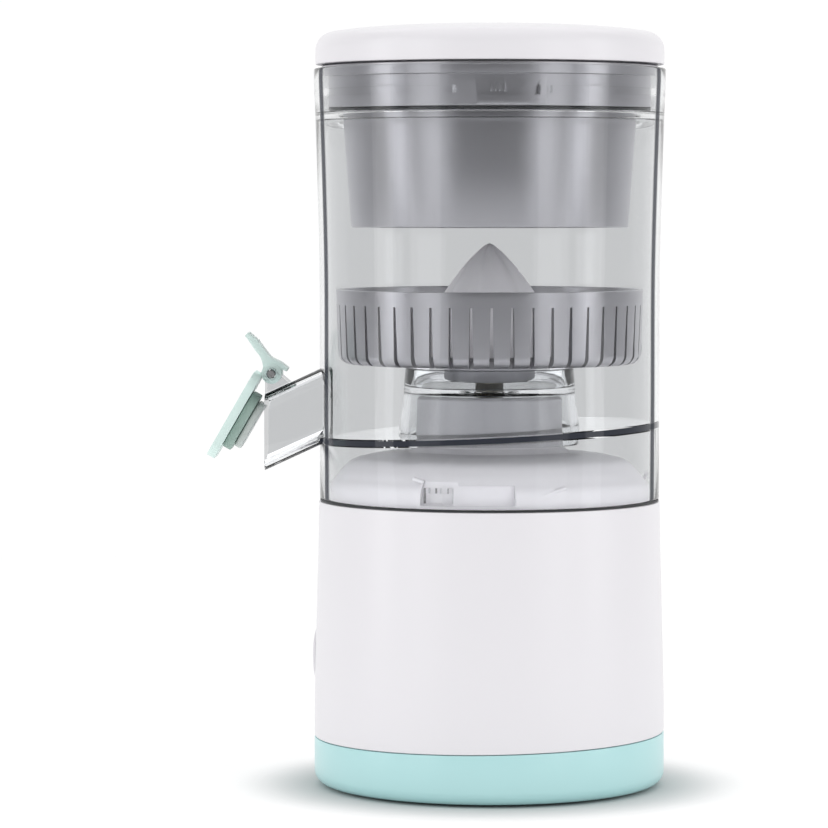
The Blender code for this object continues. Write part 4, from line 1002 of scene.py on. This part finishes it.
# ------------------------------------------------------------------ basket and reamer
class JUICER_OT_basket(bpy.types.Operator):
    """Makes the slotted filter basket and the ribbed reamer that stands in it"""
    bl_idname = "juicer.basket"
    bl_label = "Basket and reamer"

    def execute(self, context):
        self.basket()
        self.reamer()
        return {"FINISHED"}

    def basket(self):
        grey = metallic_abs_grey()
        low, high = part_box("filter_basket")
        rim_r, foot_r, rim_z, hub_z = high.x, high.x - 0.0008, high.z, low.z
        foot_z = hub_z + 0.0069
        hub_r, bore = 0.0150, 0.0079
        roof, slot_top = 0.1432, 0.158
        thick = 0.0022
        hub_in, floor = bore + 0.0023, foot_z + thick
        corner = arc((foot_r - 0.0035, foot_z + 0.0035), 0.0035, 0.0, -90.0, 8)
        profile = [(0.0, roof + thick), (hub_in, roof + thick), (hub_in, floor), (foot_r - 0.0033, floor),
                   (foot_r - 0.0020, foot_z + 0.0038), (rim_r - 0.0020, rim_z), (rim_r, rim_z),
                   (rim_r - 0.0001, rim_z - 0.0022), *corner, (hub_r, foot_z), (hub_r, hub_z),
                   (bore, hub_z), (bore, roof), (0.0, roof)]
        basket = lathe("slotted_basket", profile, 0.0004, 2 * TURN_STEPS)
        dogs = []
        for side in (-1.0, 1.0):
            near, far = sorted((side * 0.0052, side * (bore + 0.0006)))
            dogs.append(box(f"dog_{int(side)}", (near, -0.0012, hub_z + 0.0006),
                            (far, 0.0012, roof + 0.0006)))
        basket = join(basket, *dogs)
        tree, names = slot_tree()
        values = {"Count": sizes().slots, "Radius": foot_r - 0.0008, "Depth": 0.0072, "Foot": foot_z - 0.001,
                  "Height": slot_top - foot_z + 0.001, "Top_Width": sizes().slot_top,
                  "Foot_Width": sizes().slot_low, "Material": grey}
        basket = run_tree(basket, tree, names, values)
        finish_piece(basket, grey, "basket", "grey_plastic", "filter_basket")

    def reamer(self):
        low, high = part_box("reamer_cone")
        height = high.z - low.z
        ribs = sizes().ribs
        side = smooth_line([(1.0, 0.0), (0.985, 0.05), (0.93, 0.16), (0.83, 0.32), (0.64, 0.55),
                            (0.40, 0.77), (0.20, 0.91), (0.06, 0.985)], 4)
        bm = bmesh.new()
        count = ribs * 18
        loops = []
        for radius, share in side:
            loop = []
            for index in range(count):
                angle = math.tau * index / count
                wave = 0.5 - 0.5 * math.cos(ribs * (angle + 0.35 * share))
                depth = 0.15 * min(1.0, 7.0 * share) * wave ** 0.7
                reach = high.x * radius * (1.0 - depth)
                loop.append(bm.verts.new((reach * math.cos(angle), reach * math.sin(angle),
                                          low.z + share * height)))
            loops.append(loop)
        tip = bm.verts.new((0.0, 0.0, high.z))
        for lower, upper in zip(loops, loops[1:]):
            for index in range(count):
                after = (index + 1) % count
                bm.faces.new((lower[index], lower[after], upper[after], upper[index]))
        for index in range(count):
            bm.faces.new((loops[-1][index], loops[-1][(index + 1) % count], tip))
        bm.faces.new(loops[0][::-1])
        reamer = add_object("ribbed_reamer", mesh_from("ribbed_reamer", bm))
        seat = rod("seat", 0.0105, low.z - 0.001, 0.1457, segments=64)
        reamer = cut(reamer, seat)
        finish_piece(reamer, satin_abs_white(), "basket", "reamer_plastic", "reamer_cone", angle=50.0)


# ------------------------------------------------------------------ lid and presser
class JUICER_OT_lid(bpy.types.Operator):
    """Makes the white lid cap and the grey collar with its locking lugs"""
    bl_idname = "juicer.lid"
    bl_label = "Lid"

    def execute(self, context):
        self.cap()
        self.collar()
        return {"FINISHED"}

    def cap(self):
        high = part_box("lid_cap")[1]
        wide, top, rim = high.x, high.z, top_of("juice_jar") + RELIEF
        thick, rounding = 0.0022, 0.006
        centre = (wide - rounding, top - 0.0084)
        crown = smooth_line([(0.0, top), (0.020, top - 0.00025), (0.036, top - 0.0009),
                             (0.046, top - 0.0017)], 6)
        outside = crown + arc(centre, rounding, 84.0, 0.0, 14) + [(wide, rim)]
        inside = [(wide - thick, rim)] + arc(centre, 0.0038, 0.0, 84.0, 8)
        inside += [(r, z - thick) for r, z in reversed(crown[:-2])]
        cap = lathe("white_cap", outside + inside, 0.0005)
        guide = lathe("guide", mm([(7.3, 248.0), (7.3, 222.5), (5.3, 222.5), (5.3, 248.0)]), 0.0)
        bosses = []
        for index, azimuth in thirds(SCREW_AZIMUTH):
            bosses.append(rod(f"boss_{index}", 0.0036, 0.2403, top - 0.003, around(SCREW_CIRCLE, azimuth)))
        cap = join(cap, guide, *bosses)
        cap = cut(cap, *screw_holes(0.238, top - 0.0046))
        finish_piece(cap, polished_abs_white(), "lid", "shell_white", "lid_cap")

    def collar(self):
        low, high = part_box("lid_collar")
        band, foot, top = high.x, low.z, high.z
        rim = top_of("juice_jar") + RELIEF
        skirt = 0.0526
        profile = [(0.0542, top), (0.0542, rim - 0.0002), (band, rim - 0.0006), (band, 0.2318),
                   (skirt, 0.2318), (skirt, foot), (0.0506, foot), (0.0506, 0.238), (0.043, 0.238),
                   (0.043, top)]
        collar = lathe("grey_collar", profile, 0.0003)
        lugs = []
        for index, azimuth in thirds(7.5):
            lugs.append(sector(f"lug_{index}", 0.0516, 0.0545, azimuth, 11.7, 0.2219, 0.2251, 24))
            lugs.append(sector(f"stop_{index}", 0.0516, 0.0541, azimuth + 10.4, 1.2, 0.2249, 0.2282, 4))
            for step in range(4):
                spot = azimuth - 7.0 + 1.5 * step
                lugs.append(sector(f"mark_{index}_{step}", 0.0520, 0.0528, spot, 0.35, 0.2262, 0.2284, 2))
        collar = join(collar, *lugs)
        collar = soften(cut(collar, *screw_holes(0.237, 0.241)), 0.0002)
        finish_piece(collar, metallic_abs_grey(), "lid", "grey_plastic", "lid_collar")


def screw_holes(low, high):
    """Rods that cut the three screw holes of the lid."""
    holes = []
    for index, azimuth in thirds(SCREW_AZIMUTH):
        holes.append(rod(f"hole_{index}", SCREW_HOLE, low, high, around(SCREW_CIRCLE, azimuth), segments=24))
    return holes


class JUICER_OT_presser(bpy.types.Operator):
    """Makes the presser cup with its gripping ribs, and the stem"""
    bl_idname = "juicer.presser"
    bl_label = "Presser"

    def execute(self, context):
        low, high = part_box("presser_cup")
        wide, top, foot = high.x, high.z, low.z
        foot_r = wide - 0.0027
        disc = 0.1993
        floor = disc + 0.0025

        def inner(z):
            return foot_r - 0.002 + (wide - foot_r) * (z - foot) / (top - foot)

        profile = [(0.0, floor), (inner(floor), floor), (inner(top), top), (wide, top), (foot_r, foot),
                   (foot_r - 0.002, foot), (inner(disc), disc), (0.0, disc)]
        grey = metallic_abs_grey()
        cup = lathe("press_cup", profile, 0.0006)
        rib = box("press_rib", (0.016, -0.0008, disc - 0.0022), (0.0425, 0.0008, disc + 0.0010))
        tree, names = ring_tree()
        ribs = run_tree(soften(rib, 0.0003), tree, names, {"Count": 12, "Material": grey})
        cup = join(cup, ribs)
        finish_piece(cup, grey, "presser", "grey_plastic", "presser_cup")
        stem_low, stem_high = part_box("presser_stem")
        radius = stem_high.x
        stem = lathe("press_stem", [(0.0, stem_high.z), (radius, stem_high.z), (radius, stem_low.z),
                                    (0.0, stem_low.z)], 0.0006, 64)
        finish_piece(stem, grey, "presser", "grey_plastic", "presser_stem")
        return {"FINISHED"}


# ------------------------------------------------------------------ pieces kept from the frame
class JUICER_OT_works(bpy.types.Operator):
    """Gives the drive, the cells, the board and the fasteners their finishes"""
    bl_idname = "juicer.works"
    bl_label = "Works"

    def execute(self, context):
        steel = metal("turned_steel", "#C9CACC", 0.28, 0.5, (1.0, 1.0, 8.0))
        zinc = metal("zinc_plated_steel", "#C4C6C4", 0.34, 0.3, (1.0, 1.0, 1.0))
        drawn = metal("drawn_steel_can", "#BFC1C4", 0.36, 0.6, (1.0, 1.0, 0.1))
        bronze = metal("sintered_bronze", "#B58E5A", 0.42, 0.25, (1.0, 1.0, 1.0))
        nylon = moulded("moulded_nylon", "#E7E2D2", 0.42, grain=0.03, shade=0.95)
        black = moulded("moulded_black_abs", "#1E1F21", 0.45, grain=0.04, shade=0.85)
        wrap = moulded("shrink_wrap_blue", "#3F76A8", 0.30, grain_mm=1.2, grain=0.03, shade=0.92)
        mask = moulded("solder_mask_green", "#1F6A38", 0.32, grain_mm=0.9, grain=0.05, shade=0.8)
        finishes = {
            "drive_shaft": steel, "idler_axle": steel, "motor_shaft": steel, "spout_pin": steel,
            "motor_can": drawn, "gear_plate": drawn, "charge_socket": drawn,
            "shaft_bush": bronze, "motor_pinion": bronze, "drive_coupler": nylon, "output_gear": nylon,
            "idler_gear": nylon, "battery_holder": black, "push_switch": black, "battery_cell_1": wrap,
            "battery_cell_2": wrap, "control_board": mask,
        }
        for name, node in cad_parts.items():
            if "_screw_" in name:
                finishes[name] = zinc
            if name in finishes:
                node.data.materials.clear()
                node.data.materials.append(finishes[name])
        self.spring(steel)
        return {"FINISHED"}

    def spring(self, steel):
        """The presser's coil, a copy of the frame's coil, hangs from the cap and moves with the lid."""
        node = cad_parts["presser_spring"]
        mesh = node.data.copy()
        mesh.transform(node.matrix_world)
        coil = finish_piece(add_object("press_spring", mesh), steel, "lid", "steel", "presser_spring")
        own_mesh(coil)


# ------------------------------------------------------------------ panel and order of work
class JUICER_PT_panel(bpy.types.Panel):
    """Lists the pieces in the order that they are made"""
    bl_idname = "JUICER_PT_panel"
    bl_label = "Citrus press juicer"
    bl_space_type = "VIEW_3D"
    bl_region_type = "UI"
    bl_category = "Juicer"

    def draw(self, context):
        for group in (context.scene.juicer_sizes, context.scene.juicer_colours):
            box_layout = self.layout.box()
            for key in group.bl_rna.properties.keys():
                if key not in {"rna_type", "name"}:
                    box_layout.prop(group, key)
        for operator in OPERATORS:
            self.layout.operator(operator.bl_idname)


OPERATORS = (JUICER_OT_stage, JUICER_OT_base, JUICER_OT_button, JUICER_OT_jar, JUICER_OT_flap,
             JUICER_OT_basket, JUICER_OT_lid, JUICER_OT_presser, JUICER_OT_works)
CLASSES = (JuicerSizes, JuicerColours, *OPERATORS, JUICER_PT_panel)


def register():
    for item in CLASSES:
        bpy.utils.register_class(item)
    bpy.types.Scene.juicer_sizes = bpy.props.PointerProperty(type=JuicerSizes)
    bpy.types.Scene.juicer_colours = bpy.props.PointerProperty(type=JuicerColours)


def unregister():
    del bpy.types.Scene.juicer_colours
    del bpy.types.Scene.juicer_sizes
    for item in reversed(CLASSES):
        bpy.utils.unregister_class(item)


def main():
    register()
    bpy.ops.juicer.stage()
    bpy.ops.juicer.base()
    bpy.ops.juicer.button()
    bpy.ops.juicer.jar()
    bpy.ops.juicer.flap()
    bpy.ops.juicer.basket()
    bpy.ops.juicer.lid()
    bpy.ops.juicer.presser()
    bpy.ops.juicer.works()


if __name__ == "__main__":
    main()
